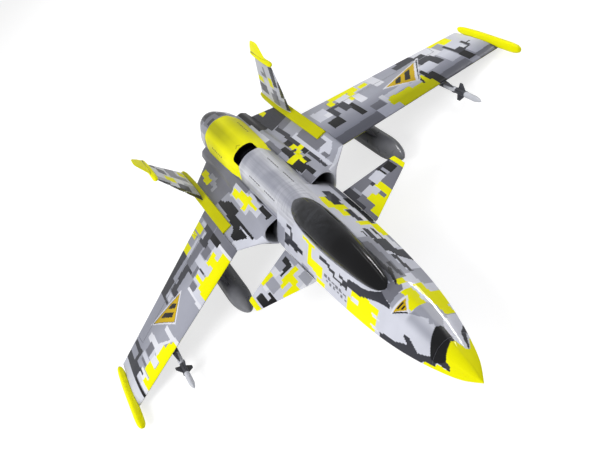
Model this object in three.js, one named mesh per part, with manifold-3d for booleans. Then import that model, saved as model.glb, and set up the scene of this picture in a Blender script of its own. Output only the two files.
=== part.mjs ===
// Electric ducted-fan model jet with canards, gull wings, twin canted fins and wing stores.
// Frame: millimetres, nose toward -Y, +X is the port (left) wing, +Z up. The origin is on the
// centreline between the wing roots, at the flat underside of the belly skid. All heights below
// are drawn from a waterline 52 mm above that, and the whole model is raised at the end.
// Pieces made in pairs are modelled on the +X side and mirrored.
import * as THREE from 'three';
import { mergeVertices } from 'three/addons/utils/BufferGeometryUtils.js';
import Module from 'manifold-3d';

const wasm = await Module();
wasm.setup();

// ---------------------------------------------------------------- driving dimensions (mm)
const GAP = 0.3;               // clearance between glued or seated pieces
const NOSE_Y = -709;
const TAIL_Y = 434;
const NOSE_SPLIT = -628;       // joint between nose cone and front fuselage
const BODY_SPLIT = -130;       // joint between front and rear fuselage, also the intake plane
const TAIL_SPLIT = 384;        // joint between rear fuselage and tail cone
const SKIN = 6;                // foam wall of the fuselage
const COVER_SKIN = 4;          // wall of the spine cover and fan hatch
const FAN_Z = 8;               // height of the fan axis
const FAN_Y0 = 134;            // front and back of the fan housing
const FAN_Y1 = 206;
const EXHAUST_R = 31;          // inner radius of the exhaust tube at the exit
const SKID_Z = -52;            // flat underside of the belly skid

// outer wing panel: root and tip stations, leading (LE) and trailing (TE) edges
const ROOT_X = 150.5;
const ROOT_LE = -85;
const ROOT_TE = 126;
const ROOT_Z = 20;
const TIP_X = 521;
const TIP_LE = -100;
const TIP_TE = 55;
const TIP_Z = -70;
const HINGE_F = 0.74;          // aileron hinge line, fraction of chord
const AIL_S0 = 0.13;           // aileron span stations, fraction of the outer panel
const AIL_S1 = 0.80;

const CANARD_Y = -256;         // canard pivot axis, along X at z = 0
const CANARD_X0 = 79;          // canard inner edge, joint with its tip piece, and outer edge
const CANARD_X1 = 184;
const CANARD_TIP = 194;
const TANK_X = 216;
const TANK_Z = -60;
const TANK_R = 23.5;
const MISSILE_X = 394;
const MISSILE_Z = -60;
const MISSILE_R = 6;

// ---------------------------------------------------------------- finishes
const YELLOW = 0xe6e600;
const GREY = 0x8c8e98;
const DARK = 0x3c3d42;
const LIGHT = 0xc6c8d2;
const BLACK = 0x15161a;
const ALLOY = 0xb4b6ba;
const FOAM = 0xb9bbc4;
const FINISH = {
  yellow: { color: YELLOW, roughness: 0.3 },
  glass: { color: BLACK, roughness: 0.06 },
  mattDark: { color: DARK, roughness: 0.7 },
  satinDark: { color: DARK, roughness: 0.45 },
  pylon: { color: DARK, roughness: 0.5 },
  bodyFoam: { color: FOAM, roughness: 0.4 },
  wingFoam: { color: FOAM, roughness: 0.42 },
  spine: { color: LIGHT, roughness: 0.28, metalness: 0.15 },
  tailGrey: { color: GREY, roughness: 0.4 },
  wingGrey: { color: GREY, roughness: 0.42 },
  tankGrey: { color: GREY, roughness: 0.35 },
  duct: { color: BLACK, roughness: 0.5 },
  carbon: { color: BLACK, roughness: 0.35 },
  servo: { color: BLACK, roughness: 0.4 },
  lightPlastic: { color: LIGHT, roughness: 0.4 },
  rod: { color: ALLOY, roughness: 0.3, metalness: 0.9 },
  motor: { color: ALLOY, roughness: 0.3, metalness: 0.85 },
  spinner: { color: LIGHT, roughness: 0.25, metalness: 0.6 },
  tray: { color: 0xc9a66b, roughness: 0.7 },
  battery: { color: 0x2b2f3a, roughness: 0.5 },
  strap: { color: 0x111111, roughness: 0.9 },
  receiver: { color: 0x202020, roughness: 0.5 },
  controller: { color: 0x30343c, roughness: 0.5 },
};

// ---------------------------------------------------------------- numbers and tables
const lerp = (a, b, t) => a + (b - a) * t;
const mix = (rowA, rowB, t) => rowA.map((a, k) => lerp(a, rowB[k], t));

// rows are [key, ...values]; gives the values at a key, held constant past either end
function tableAt(rows, key) {
  if (key <= rows[0][0]) return rows[0].slice(1);
  for (let i = 0; i + 1 < rows.length; i++) {
    const [here, next] = [rows[i], rows[i + 1]];
    if (key <= next[0]) {
      return mix(here.slice(1), next.slice(1), (key - here[0]) / (next[0] - here[0]));
    }
  }
  return rows[rows.length - 1].slice(1);
}

// ---------------------------------------------------------------- solids and meshes
const WELD = 1e-4;             // vertices closer than this become one

function solidOf(geometry) {
  const bare = new THREE.BufferGeometry();
  bare.setAttribute('position', geometry.attributes.position);
  bare.setIndex(geometry.index);
  const welded = mergeVertices(bare, WELD);
  const position = welded.attributes.position;
  const index = welded.index.array;
  const corner = k => new THREE.Vector3().fromBufferAttribute(position, k);
  const triangles = [];
  let volume = 0;
  for (let i = 0; i < index.length; i += 3) {
    const [a, b, c] = index.slice(i, i + 3);
    if (a === b || b === c || a === c) continue;
    triangles.push([a, b, c]);
    volume += corner(a).dot(corner(b).cross(corner(c)));
  }
  // a negative volume means the surface is inside out
  const outward = volume < 0 ? triangles.map(([a, b, c]) => [b, a, c]) : triangles;
  const mesh = new wasm.Mesh({
    numProp: 3,
    vertProperties: Float32Array.from(position.array),
    triVerts: Uint32Array.from(outward.flat()),
  });
  mesh.merge();
  return new wasm.Manifold(mesh);
}

function geometryFrom(positions, indices) {
  const geometry = new THREE.BufferGeometry();
  geometry.setAttribute('position', new THREE.Float32BufferAttribute(positions, 3));
  geometry.setIndex(indices);
  return geometry;
}

function geometryOf(solid) {
  const mesh = solid.getMesh();
  const geometry = geometryFrom(mesh.vertProperties, Array.from(mesh.triVerts));
  geometry.computeVertexNormals();
  return geometry;
}

const mirrored = solid => solidOf(geometryOf(solid).scale(-1, 1, 1));

const model = new THREE.Group();
model.position.z = -SKID_Z;    // the belly skid stands on Z = 0

function add(name, solid, finish) {
  const mesh = new THREE.Mesh(geometryOf(solid), new THREE.MeshStandardMaterial(finish));
  mesh.name = name;
  model.add(mesh);
}
function pair(name, solid, finish) {
  add(name + '_left', solid, finish);
  add(name + '_right', mirrored(solid), finish);
}

// ---------------------------------------------------------------- lofts and basic shapes
// coordinate pairs of the plane in which a loft's end caps are triangulated
const XY = [0, 1];
const XZ = [0, 2];
const YZ = [1, 2];

// triangles of the walls joining successive rings; a closed band also joins the last to the first
function wallTriangles(rings, closed = false) {
  const size = rings[0].length;
  const triangles = [];
  for (let r = 0; r < rings.length - (closed ? 0 : 1); r++) {
    const here = r * size;
    const next = ((r + 1) % rings.length) * size;
    for (let i = 0; i < size; i++) {
      const j = (i + 1) % size;
      triangles.push([here + i, here + j, next + j], [here + i, next + j, next + i]);
    }
  }
  return triangles;
}

// closed loft through rings of equal length, with flat end caps
function loft(rings, [u, v]) {
  const triangles = wallTriangles(rings);
  for (const r of [0, rings.length - 1]) {
    const start = r * rings[0].length;
    const outline = rings[r].map(p => new THREE.Vector2(p[u], p[v]));
    // the cap runs against the ring order on the first ring and along it on the last
    const keep = THREE.ShapeUtils.isClockWise(outline) === (r === 0);
    for (const [a, b, c] of THREE.ShapeUtils.triangulateShape(outline, [])) {
      triangles.push((keep ? [a, b, c] : [a, c, b]).map(i => start + i));
    }
  }
  return solidOf(geometryFrom(rings.flat(2), triangles.flat()));
}

function box([x0, x1], [y0, y1], [z0, z1]) {
  const geometry = new THREE.BoxGeometry(x1 - x0, y1 - y0, z1 - z0);
  geometry.translate((x0 + x1) / 2, (y0 + y1) / 2, (z0 + z1) / 2);
  return solidOf(geometry);
}

// cylinder between two points
function rod(from, to, radius, segments) {
  const start = new THREE.Vector3(...from);
  const end = new THREE.Vector3(...to);
  const along = end.clone().sub(start);
  const geometry = new THREE.CylinderGeometry(radius, radius, along.length(), segments);
  const up = new THREE.Vector3(0, 1, 0);
  const turn = new THREE.Quaternion().setFromUnitVectors(up, along.normalize());
  geometry.applyQuaternion(turn);
  const middle = start.add(end).multiplyScalar(0.5);
  geometry.translate(middle.x, middle.y, middle.z);
  return solidOf(geometry);
}

// body of revolution about an axis parallel to Y through (x, z); profile rows are [y, radius]
function latheY(x, z, profile, segments, turn = 0) {
  const points = profile.map(([y, r]) => new THREE.Vector2(r, y));
  const geometry = new THREE.LatheGeometry(points, segments);
  geometry.rotateY(turn);
  geometry.translate(x, 0, z);
  return solidOf(geometry);
}

// flat outline of [u, v] points given thickness from w0 to w1; place maps (u, v, w) to [x, y, z]
function prism(points, [w0, w1], place) {
  const shape = new THREE.Shape(points.map(p => new THREE.Vector2(...p)));
  const geometry = new THREE.ExtrudeGeometry(shape, { depth: w1 - w0, bevelEnabled: false });
  const position = geometry.attributes.position;
  for (let i = 0; i < position.count; i++) {
    const spot = place(position.getX(i), position.getY(i), position.getZ(i) + w0);
    position.setXYZ(i, ...spot);
  }
  return solidOf(geometry);
}
const prismYZ = (points, span) => prism(points, span, (y, z, x) => [x, y, z]);
const prismXY = (points, span) => prism(points, span, (x, y, z) => [x, y, z]);

// ring round a symmetric section: out along one side of the profile and back along the other;
// profile rows are [fraction of chord, fraction of half thickness], side is +1 or -1
function sectionRing(profile, place) {
  const upper = profile.map(([f, h]) => place(f, h, 1));
  const lower = profile.slice(1).reverse().map(([f, h]) => place(f, h, -1));
  return upper.concat(lower);
}

// upright surface lofted in height; rows are [x, leading y, trailing y, z, half thickness, lean],
// where lean is the sideways shift in x from leading to trailing edge
const FIN_PROFILE = [[0, 0], [0.04, 0.42], [0.16, 0.82], [0.36, 1], [0.62, 0.72], [1, 0.1]];
function finLoft(rows) {
  const ring = ([x, leading, trailing, z, halfThick, lean = 0]) =>
    sectionRing(FIN_PROFILE, (f, h, side) =>
      [x + lean * f + side * h * halfThick, leading + f * (trailing - leading), z]);
  return loft(rows.map(ring), XY);
}

// twelve [u, v] points round an ellipse
const ellipse = (a, b) => Array.from({ length: 12 }, (_, i) => {
  const angle = Math.PI * 2 * i / 12;
  return [a * Math.cos(angle), b * Math.sin(angle)];
});

// ---------------------------------------------------------------- fuselage core
// y, top z, shoulder x, shoulder z, half width, chine z, bottom z, bulge of the upper slope
const CORE = [
  [-709, -9.6, 0.4, -9.8, 0.7, -10, -10.6, 0],
  [-700, -5.5, 3.2, -7, 6.5, -9.8, -14, 0.3],
  [-680, 0.8, 8, -1.8, 18.5, -9, -18.5, 0.6],
  [-648, 9.5, 12.5, 6, 30.5, -7.5, -22.5, 1],
  [-600, 19, 18, 14.5, 44, -6, -27, 1.5],
  [-550, 27.5, 22.5, 21.5, 54.5, -4.5, -31, 1.5],
  [-492, 36, 27, 28, 62.5, -3, -35, 1.2],
  [-430, 44, 32, 32.5, 67.8, -2, -38, 1],
  [-350, 52, 37, 36, 72.5, -1, -41, 0.6],
  [-250, 59, 42, 38, 76.5, 0, -44, 0],
  [-168, 62.5, 45, 38, 77.5, -0.5, -46, 0],
  [-130, 63.5, 46.5, 37.5, 77, -1, -47, 0.3],
  [-60, 64, 48, 36.5, 66, 3, -48, 1.5],
  [20, 64, 48.5, 36, 56, 8, -48, 3],
  [250, 64, 48.5, 36, 56, 8, -48, 3],
  [330, 60.5, 47, 34.5, 55.5, 8, -47, 3],
  [384, 54, 42, 31, 50, 8.5, -42, 2.8],
  [415, 48.5, 35.5, 27, 42.5, 9, -34.5, 2.4],
  [434, 43.5, 30, 24, 36.5, 9, -28.5, 2],
];

// [x, z] points of the +X half section, from the top down to the keel
function coreHalf(y) {
  const [top, shoulderX, shoulderZ, width, chineZ, bottom, bulge] = tableAt(CORE, y);
  const normalX = shoulderZ - chineZ;
  const normalZ = width - shoulderX;
  const length = Math.hypot(normalX, normalZ);
  return [
    [0, top],
    [0.38 * shoulderX, top - 0.12 * (top - shoulderZ)],
    [0.72 * shoulderX, top - 0.42 * (top - shoulderZ)],
    [shoulderX, shoulderZ],
    [
      lerp(shoulderX, width, 0.5) + bulge * normalX / length,
      lerp(shoulderZ, chineZ, 0.5) + bulge * normalZ / length,
    ],
    [width, chineZ],
    [0.88 * width, chineZ - 0.45 * (chineZ - bottom)],
    [0.5 * width, chineZ - 0.87 * (chineZ - bottom)],
    [0, bottom],
  ];
}

// full section drawn in toward its mid height by the inset (outward when negative)
function coreRing(y, inset) {
  const half = coreHalf(y);
  const middle = (half[0][1] + half[8][1]) / 2;
  const points = half.concat(half.slice(1, 8).reverse().map(([x, z]) => [-x, z]));
  return points.map(([x, z]) => {
    const radius = Math.hypot(x, z - middle);
    const scale = radius > 1e-6 ? Math.max(0.02, 1 - inset / radius) : 1;
    return [x * scale, y, middle + (z - middle) * scale];
  });
}
function coreSolid(y0, y1, inset = 0) {
  const between = CORE.map(row => row[0]).filter(y => y > y0 + 0.5 && y < y1 - 0.5);
  return loft([y0, ...between, y1].map(y => coreRing(y, inset)), XZ);
}
const skinBetween = (y0, y1, wall = SKIN) =>
  coreSolid(y0, y1).subtract(coreSolid(y0 - 1, y1 + 1, wall));

// height of the body's upper surface at (x, y), for x >= 0
const coreTopZ = (y, x) => tableAt(coreHalf(y).slice(0, 6), x)[0];

const coreGrown = coreSolid(-200, TAIL_Y, -GAP);

// ---------------------------------------------------------------- canopy
// y, half width
const CANOPY = [
  [-488, 2], [-481, 9.5], [-466, 15.5], [-440, 20.5], [-400, 25], [-350, 29],
  [-300, 31], [-250, 30.5], [-210, 27], [-185, 20], [-171, 10], [-166, 2],
];
// y, rise of the glass above the fuselage top
const CANOPY_RISE = [
  [-488, 0.5], [-466, 7], [-440, 12], [-400, 17], [-350, 20],
  [-300, 19.5], [-250, 16], [-210, 10.5], [-185, 5.5], [-166, 0.4],
];
const GLASS_WALL = 1.8;
const ARCH_STEPS = 8;

function canopyOutline(offset) {
  const side = CANOPY.map(([y, halfWidth], i) => {
    const shift = i === 0 ? -offset : i === CANOPY.length - 1 ? offset : 0;
    return [Math.max(0.5, halfWidth + offset), y + shift];
  });
  return side.concat(side.slice().reverse().map(([x, y]) => [-x, y]));
}

function canopyArch(y, inset) {
  const [outerHalf] = tableAt(CANOPY, y);
  const [rise] = tableAt(CANOPY_RISE, y);
  const halfWidth = Math.max(0.6, outerHalf - inset);
  const sill = coreTopZ(y, outerHalf) - 0.4;
  const height = Math.max(0.5, coreHalf(y)[0][1] + rise - inset - sill);
  const points = [];
  for (let i = 0; i <= ARCH_STEPS; i++) {
    const angle = Math.PI * i / ARCH_STEPS;
    points.push([
      halfWidth * Math.cos(angle), y, sill + height * Math.pow(Math.sin(angle), 0.85),
    ]);
  }
  return points;
}
const canopyGlass = () => loft(
  CANOPY.map(([y]) => canopyArch(y, 0).concat(canopyArch(y, GLASS_WALL).reverse())), XZ);

// rectangular rim that follows the sill under the glass, with a flat cockpit floor
function canopyFrame() {
  const depth = 4;
  const inner = canopyOutline(-6);
  const rings = canopyOutline(-0.2).map(([x, y], i) => {
    const z = coreTopZ(y, Math.abs(x)) - 0.8;
    const innerX = inner[i][0];
    const innerY = Math.max(-481, Math.min(-173, inner[i][1]));
    return [[x, y, z], [x, y, z - depth], [innerX, innerY, z - depth], [innerX, innerY, z]];
  });
  const rim = solidOf(geometryFrom(rings.flat(2), wallTriangles(rings, true).flat()));
  const floorRings = [-455, -400, -300, -210].map(y => {
    const z = coreTopZ(y, 30) - 4.2;
    const x = tableAt(CANOPY, y)[0] - 3;
    return [[x, y, z], [x, y, z + 2], [-x, y, z + 2], [-x, y, z]];
  });
  return rim.add(loft(floorRings, XZ));
}
add('canopy_glass', canopyGlass(), FINISH.glass);
add('canopy_frame', canopyFrame(), FINISH.mattDark);

// ---------------------------------------------------------------- intake ducts
// [x, z] points of the bore at the intake and, in the same order, at its end by the fan
const DUCT_INLET = [
  [47, 35], [60, 36.6], [73, 36], [82, 32], [88, 24], [89.6, 14],
  [86, 4.5], [78, -4.3], [71, 3.5], [64, 12], [58, 20], [52, 28],
];
const DUCT_OUTLET = [
  [1.2, 42.5], [10, 41.5], [19, 37.5], [27, 30.5], [33, 20], [35.2, 8],
  [33, -4], [25, -17], [12, -25], [1.2, -27], [1.2, -5], [1.2, 20],
];
const DUCT_WALL = 1.2;
const DUCT_START = -129.6;
const DUCT_END = 130;
const DUCT_STATIONS = [DUCT_START, -90, -50, -10, 30, 70, 100];

// bore section at y, moved outward by the offset
function ductRing(y, offset) {
  const t = THREE.MathUtils.smoothstep(y, BODY_SPLIT, DUCT_END);
  const points = DUCT_INLET.map((p, i) => mix(p, DUCT_OUTLET[i], t));
  const normal = (a, b) => {
    const [dx, dz] = [b[0] - a[0], b[1] - a[1]];
    const length = Math.hypot(dx, dz);
    return [-dz / length, dx / length];
  };
  return points.map((p, i) => {
    const before = normal(points.at(i - 1), p);
    const after = normal(p, points[(i + 1) % points.length]);
    // mitre, limited at sharp corners
    const reach = offset / Math.max(0.35, 1 + before[0] * after[0] + before[1] * after[1]);
    return [p[0] + (before[0] + after[0]) * reach, y, p[1] + (before[1] + after[1]) * reach];
  });
}
function ductSolid(offset, y0, y1) {
  const stations = [y0, ...DUCT_STATIONS.filter(y => y > y0 + 0.5), y1];
  return loft(stations.map(y => ductRing(y, offset)), XZ);
}
const ductCut = ductSolid(DUCT_WALL + GAP, -135, DUCT_END + 1);
const ductCutBoth = ductCut.add(mirrored(ductCut));
const inletDuct = ductSolid(DUCT_WALL, DUCT_START, DUCT_END)
  .subtract(ductSolid(0, -135, DUCT_END + 4))
  .subtract(box([-40, 0.25], [-140, 150], [-60, 60]));    // keeps the two ducts apart

// ---------------------------------------------------------------- outer wing
// fraction of chord, fraction of half thickness
const AIRFOIL = [
  [0, 0], [0.015, 0.30], [0.07, 0.62], [0.18, 0.90], [0.36, 1.0],
  [0.56, 0.84], [0.74, 0.53], [0.88, 0.27], [1, 0.05],
];
const ROOT_HALF_THICK = 9.6;
const TIP_HALF_THICK = 6.4;
const CAMBER = 0.16;           // mid-chord rise of the section, in half thicknesses

// point at span fraction s and chord fraction f; side +1 is the upper surface, -1 the lower
function wingPoint(s, f, side, offset = 0) {
  const leading = lerp(ROOT_LE, TIP_LE, s);
  const chord = lerp(ROOT_TE, TIP_TE, s) - leading;
  const halfThick = lerp(ROOT_HALF_THICK, TIP_HALF_THICK, s);
  const rise = side * (halfThick * tableAt(AIRFOIL, f)[0] + offset);
  return [
    lerp(ROOT_X, TIP_X, s),
    leading + f * chord,
    lerp(ROOT_Z, TIP_Z, s) + rise + CAMBER * halfThick * Math.sin(Math.PI * f),
  ];
}
function wingRing(s, offset) {
  const ring = sectionRing(AIRFOIL, (f, h, side) => wingPoint(s, f, side, offset));
  ring[0][1] -= offset;
  return ring;
}
const wingBlank = (offset = 0) => loft([0, 0.5, 1].map(s => wingRing(s, offset)), YZ);
const wingGrown = wingBlank(GAP);

function hingePoint(s) {
  const upper = wingPoint(s, HINGE_F, 1);
  const lower = wingPoint(s, HINGE_F, -1);
  return [upper[0], upper[1], (upper[2] + lower[2]) / 2];
}

// Aileron drive under the wing: servo, arm, rod and horn share one span station and one axis.
// Its frame: along the hinge line (outboard), back, and down, all square to each other.
const DRIVE_S = 0.42;
const ARM = 16;                // lever radius of servo arm and horn
const ARM_EDGE = 2.2;          // material beyond the rod's axis
const LEVER = [-1.6, 0.7];     // thickness of both levers along the hinge line
const ROD_LEN = 62;
const hingeAxis = new THREE.Vector3(...hingePoint(AIL_S1))
  .sub(new THREE.Vector3(...hingePoint(AIL_S0))).normalize();
const downward = new THREE.Vector3(0, 0, -1).addScaledVector(hingeAxis, hingeAxis.z).normalize();
const backward = new THREE.Vector3().crossVectors(hingeAxis, downward).normalize();

function drivePoint(origin, along, back, down) {
  return new THREE.Vector3(...origin)
    .addScaledVector(hingeAxis, along)
    .addScaledVector(backward, back)
    .addScaledVector(downward, down)
    .toArray();
}
// block with edges along the drive frame
function driveBlock(origin, [along0, along1], [back0, back1], [down0, down1]) {
  const ring = along => [
    drivePoint(origin, along, back0, down0), drivePoint(origin, along, back1, down0),
    drivePoint(origin, along, back1, down1), drivePoint(origin, along, back0, down1),
  ];
  return loft([ring(along0), ring(along1)], YZ);
}
const driveHinge = hingePoint(DRIVE_S);
const servoAxis = drivePoint(driveHinge, 0, -ROD_LEN, 0);

// the aileron and its pocket end on planes square to the hinge line, so the ends never bind
const AIL_INNER = -(DRIVE_S - AIL_S0) * (TIP_X - ROOT_X) / hingeAxis.x;
const AIL_OUTER = (AIL_S1 - DRIVE_S) * (TIP_X - ROOT_X) / hingeAxis.x;
const AIL_END_GAP = 0.8;
const aileronPocket = driveBlock(driveHinge, [AIL_INNER, AIL_OUTER], [-0.8, 110], [-60, 60]);

function aileronFlap() {
  const nose = HINGE_F + 0.015;
  const ring = s => [
    hingePoint(s), wingPoint(s, nose, 1), wingPoint(s, 0.88, 1), wingPoint(s, 1, 1),
    wingPoint(s, 1, -1), wingPoint(s, 0.88, -1), wingPoint(s, nose, -1),
  ];
  const blank = loft([AIL_S0 - 0.06, (AIL_S0 + AIL_S1) / 2, AIL_S1 + 0.06].map(ring), YZ);
  const span = [AIL_INNER + AIL_END_GAP, AIL_OUTER - AIL_END_GAP];
  return blank.intersect(driveBlock(driveHinge, span, [-12, 110], [-60, 60]));
}
// the horn's root is set back from the hinge line so it clears the wing at full travel
const aileronHorn = () => driveBlock(driveHinge, LEVER, [-0.5, 5.5], [1.0, ARM + ARM_EDGE])
  .subtract(driveBlock(driveHinge, [-5, 5], [-30, 0.4], [-10, 3]))
  .subtract(driveBlock(driveHinge, [-5, 5], [-30, 2.4], [-10, 7]));

const servoHole = driveBlock(servoAxis, [-3, 12.6], [-6.5, 17.5], [-3, 40]);
const servoBody = driveBlock(servoAxis, [1.2, 12.2], [-6, 17], [-2.5, 9.5]);
const servoArm = driveBlock(
  servoAxis, LEVER, [-ARM_EDGE, ARM_EDGE], [-ARM_EDGE, ARM + ARM_EDGE]);
const pushrod = driveBlock(
  drivePoint(servoAxis, 0, 0, ARM), [-3.6, -2.0], [-2, ROD_LEN + 2], [-1.1, 1.1]);

const spar = rod([136, -40, 21.6], [410, -46, -45.2], 3, 12);
const sparHole = rod([134.5, -40, 21.97], [411.5, -46, -45.55], 3.35, 12);
const outerWing = wingBlank().subtract(aileronPocket).subtract(servoHole).subtract(sparHole);

// ---------------------------------------------------------------- nacelle and inner wing panel
// one moulding per side; y, then the [x, z] points of the section
const WING_ROOT = [
  [-130, [38, 30], [46, 38.5], [61, 39.6], [75, 38.8], [84, 34.5], [89.5, 28], [92.2, 20],
    [92.5, 14], [91.5, 8], [87.5, 0], [82.5, -5.5], [77.5, -8.5], [55, -8], [40, 12]],
  [-118, [38, 30], [46.3, 38.6], [61, 39.7], [75, 39], [84.5, 35], [93, 29.5], [101, 23.5],
    [107.5, 17.2], [107.2, 14], [99, 6], [88, -3.5], [77.5, -9.5], [52, -20], [40, 12]],
  [-85, [38, 30], [47, 39], [61, 40], [74, 39.2], [84, 35.5], [104, 30], [128, 25.2],
    [150, 20.8], [150, 19.2], [128, 13], [104, 4], [78, -13], [48, -32], [38, 5]],
  [-50, [38, 28], [48, 39], [61, 39.8], [73, 38.7], [84, 34.8], [103, 31.5], [128, 29],
    [150, 27], [150, 13.5], [128, 8], [103, 0], [76, -19], [46, -38], [36, 5]],
  [10, [36, 28], [48.5, 38.5], [60, 38], [71, 36], [82, 31.5], [103, 30], [128, 29.2],
    [150, 29], [150, 11.5], [128, 5.5], [103, -3], [75, -24], [44, -42], [34, 5]],
  [70, [36, 28], [49, 37.5], [59.5, 36], [70, 33], [80, 27.5], [103, 26.5], [128, 26.5],
    [150, 26.5], [150, 12.5], [128, 6.5], [103, -2], [74, -24], [44, -42], [34, 5]],
  [130, [36, 26], [50, 35], [59, 32.5], [68.5, 29.5], [77.5, 23.5], [101, 22.5], [126, 23],
    [150, 23.3], [150, 15], [126, 9], [101, 1.5], [73, -21.5], [44, -41], [34, 5]],
  [190, [36, 24], [51, 31.5], [59.5, 29], [68, 26.3], [76, 19.5], [97, 19], [118, 19.8],
    [137.5, 20.3], [137.5, 16], [118, 11], [97, 4], [72, -18], [44, -39], [34, 5]],
  [246, [36, 20], [52, 28.5], [60, 26.5], [68, 24.2], [75.3, 17], [92, 16.5], [110, 17],
    [128.5, 17.5], [128.5, 16], [110, 12.5], [92, 6], [71, -13.5], [44, -35], [34, 5]],
  [304, [36, 18], [52.5, 25.5], [60, 24], [67.5, 22.3], [74.5, 15.5], [75.6, 14.3],
    [76.6, 13.2], [78, 12.2], [78, 11], [76.8, 8], [75.8, 3], [70, -8], [44, -29], [34, 5]],
  [341, [36, 18], [52.5, 23.8], [60, 22.8], [67, 21.2], [73.5, 14.5], [74.6, 13.4],
    [75.4, 12.4], [76, 11.4], [76, 10], [75.4, 7.5], [74, 3.5], [68, -5], [44, -22], [34, 5]],
];

// tail rail, the long strip that carries the fin: y, inner x, outer x, bottom z, top z
const RAIL = [
  [-16, 126.5, 150.1, 21, 31.8], [250, 126.5, 150.1, 21, 31.8],
  [300, 128.5, 149, 21.5, 31.6], [318, 131.5, 146, 23, 31], [324, 135, 143, 25, 30],
];
const RAIL_LOW_BEVEL = 1.6;
const RAIL_TOP_BEVEL = 0.8;
function railSolid(offset) {
  return loft(RAIL.map(([station, inner, outer, bottom, top], i) => {
    const shift = i === 0 ? -offset : i === RAIL.length - 1 ? offset : 0;
    const y = station + shift;
    const [x0, x1, z0, z1] = [inner - offset, outer + offset, bottom - offset, top + offset];
    return [
      [x0 + RAIL_LOW_BEVEL, y, z0], [x1 - RAIL_LOW_BEVEL, y, z0],
      [x1, y, z0 + RAIL_LOW_BEVEL], [x1, y, z1 - RAIL_TOP_BEVEL],
      [x1 - RAIL_TOP_BEVEL, y, z1], [x0 + RAIL_TOP_BEVEL, y, z1],
      [x0, y, z1 - RAIL_TOP_BEVEL], [x0, y, z0 + RAIL_LOW_BEVEL],
    ];
  }), XZ);
}
const wingRoot = loft(WING_ROOT.map(([y, ...points]) => points.map(([x, z]) => [x, y, z])), XZ)
  .subtract(coreGrown).subtract(ductCut).subtract(railSolid(GAP)).subtract(sparHole);

// ---------------------------------------------------------------- fuselage shells
const noseCone = coreSolid(NOSE_Y, NOSE_SPLIT - GAP / 2)
  .subtract(coreSolid(-662, NOSE_SPLIT + 5, SKIN));
add('nose_cone', noseCone, FINISH.yellow);

const canopyHole = prismXY(canopyOutline(0.5), [5, 120]);
const shaftHole = rod([-100, CANARD_Y, 0], [100, CANARD_Y, 0], 3.1, 16);
const frontShell = skinBetween(NOSE_SPLIT + GAP / 2, BODY_SPLIT - GAP / 2)
  .subtract(canopyHole).subtract(shaftHole);
add('fuselage_front', frontShell, FINISH.bodyFoam);

// cutting blocks reach across the body and above it
const CUT_SPAN = [-90, 90];
const CUT_TOP = 95;

// side outlines, [y, z], of the fan hatch and of the slightly larger opening for it
const HATCH_Y0 = 92;
const HATCH_Y1 = 334;
const HATCH_LINE = [
  [HATCH_Y0, 39.5], [130, 34.5], [174, 28], [235, 19], [278, 19.5], [312, 30],
  [HATCH_Y1, 45], [HATCH_Y1, CUT_TOP], [HATCH_Y0, CUT_TOP],
];
const HATCH_OPENING = [
  [91.7, 39.2], [130, 34.2], [174, 27.7], [235, 18.7], [278.2, 19.2], [312.3, 29.8],
  [334.3, 44.9], [334.3, CUT_TOP], [91.7, CUT_TOP],
];
// [x, y] outline of the notch in the hatch's front edge
const HATCH_NOTCH = [
  [-27, 90], [-27, 118], [-25, 126], [-20, 130], [0, 131.5],
  [20, 130], [25, 126], [27, 118], [27, 90],
];
const SPINE_Y0 = BODY_SPLIT + GAP / 2;
const SPINE_Y1 = 91.4;
const spineBlock = ([y0, z0], [y1, z1]) =>
  prismYZ([[y0, z0], [y1, z1], [y1, CUT_TOP], [y0, CUT_TOP]], CUT_SPAN);

const rearShell = skinBetween(BODY_SPLIT + GAP / 2, TAIL_SPLIT - GAP / 2)
  .subtract(ductCutBoth)
  .subtract(prismYZ(HATCH_OPENING, CUT_SPAN))
  .subtract(spineBlock([SPINE_Y0 - 2, 43.7], [SPINE_Y1 + 5, 40.5]));
const spineCover = skinBetween(SPINE_Y0, SPINE_Y1, COVER_SKIN)
  .intersect(spineBlock([SPINE_Y0 - 1, 44], [SPINE_Y1, 41]))
  .subtract(ductCutBoth);
const fanHatch = skinBetween(HATCH_Y0, HATCH_Y1, COVER_SKIN)
  .intersect(prismYZ(HATCH_LINE, CUT_SPAN))
  .subtract(prismXY(HATCH_NOTCH, [30, 100]));
add('fuselage_rear', rearShell, FINISH.bodyFoam);
add('spine_cover', spineCover, FINISH.spine);
add('fan_hatch', fanHatch, FINISH.yellow);

// tapered plug on the fan axis, with radii at y0, 230, 330 and y1
const tubePlug = ([y0, y1], [r0, r230, r330, r1]) => latheY(
  0, FAN_Z, [[y0, 0], [y0, r0], [230, r230], [330, r330], [y1, r1], [y1, 0]], 28);
const tailCone = coreSolid(TAIL_SPLIT + GAP / 2, TAIL_Y)
  .subtract(coreSolid(370, 420, SKIN))
  .subtract(tubePlug([200, 445], [39, 38.4, 35.4, EXHAUST_R + 1.8]));
const exhaustTube = tubePlug([207, 433], [38.6, 38, 35, EXHAUST_R + 1.4])
  .subtract(tubePlug([200, 445], [37.4, 36.8, 33.8, EXHAUST_R]));
add('tail_cone', tailCone, FINISH.tailGrey);
add('exhaust_tube', exhaustTube, FINISH.satinDark);
pair('wing_root', wingRoot, FINISH.wingGrey);
pair('inlet_duct', inletDuct, FINISH.duct);

// ---------------------------------------------------------------- wings, ailerons, rails, tips
pair('wing', outerWing, FINISH.wingFoam);
pair('aileron', aileronFlap().add(aileronHorn()), FINISH.wingFoam);
pair('wing_spar', spar, FINISH.carbon);
pair('tail_rail', railSolid(0), FINISH.yellow);

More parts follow.
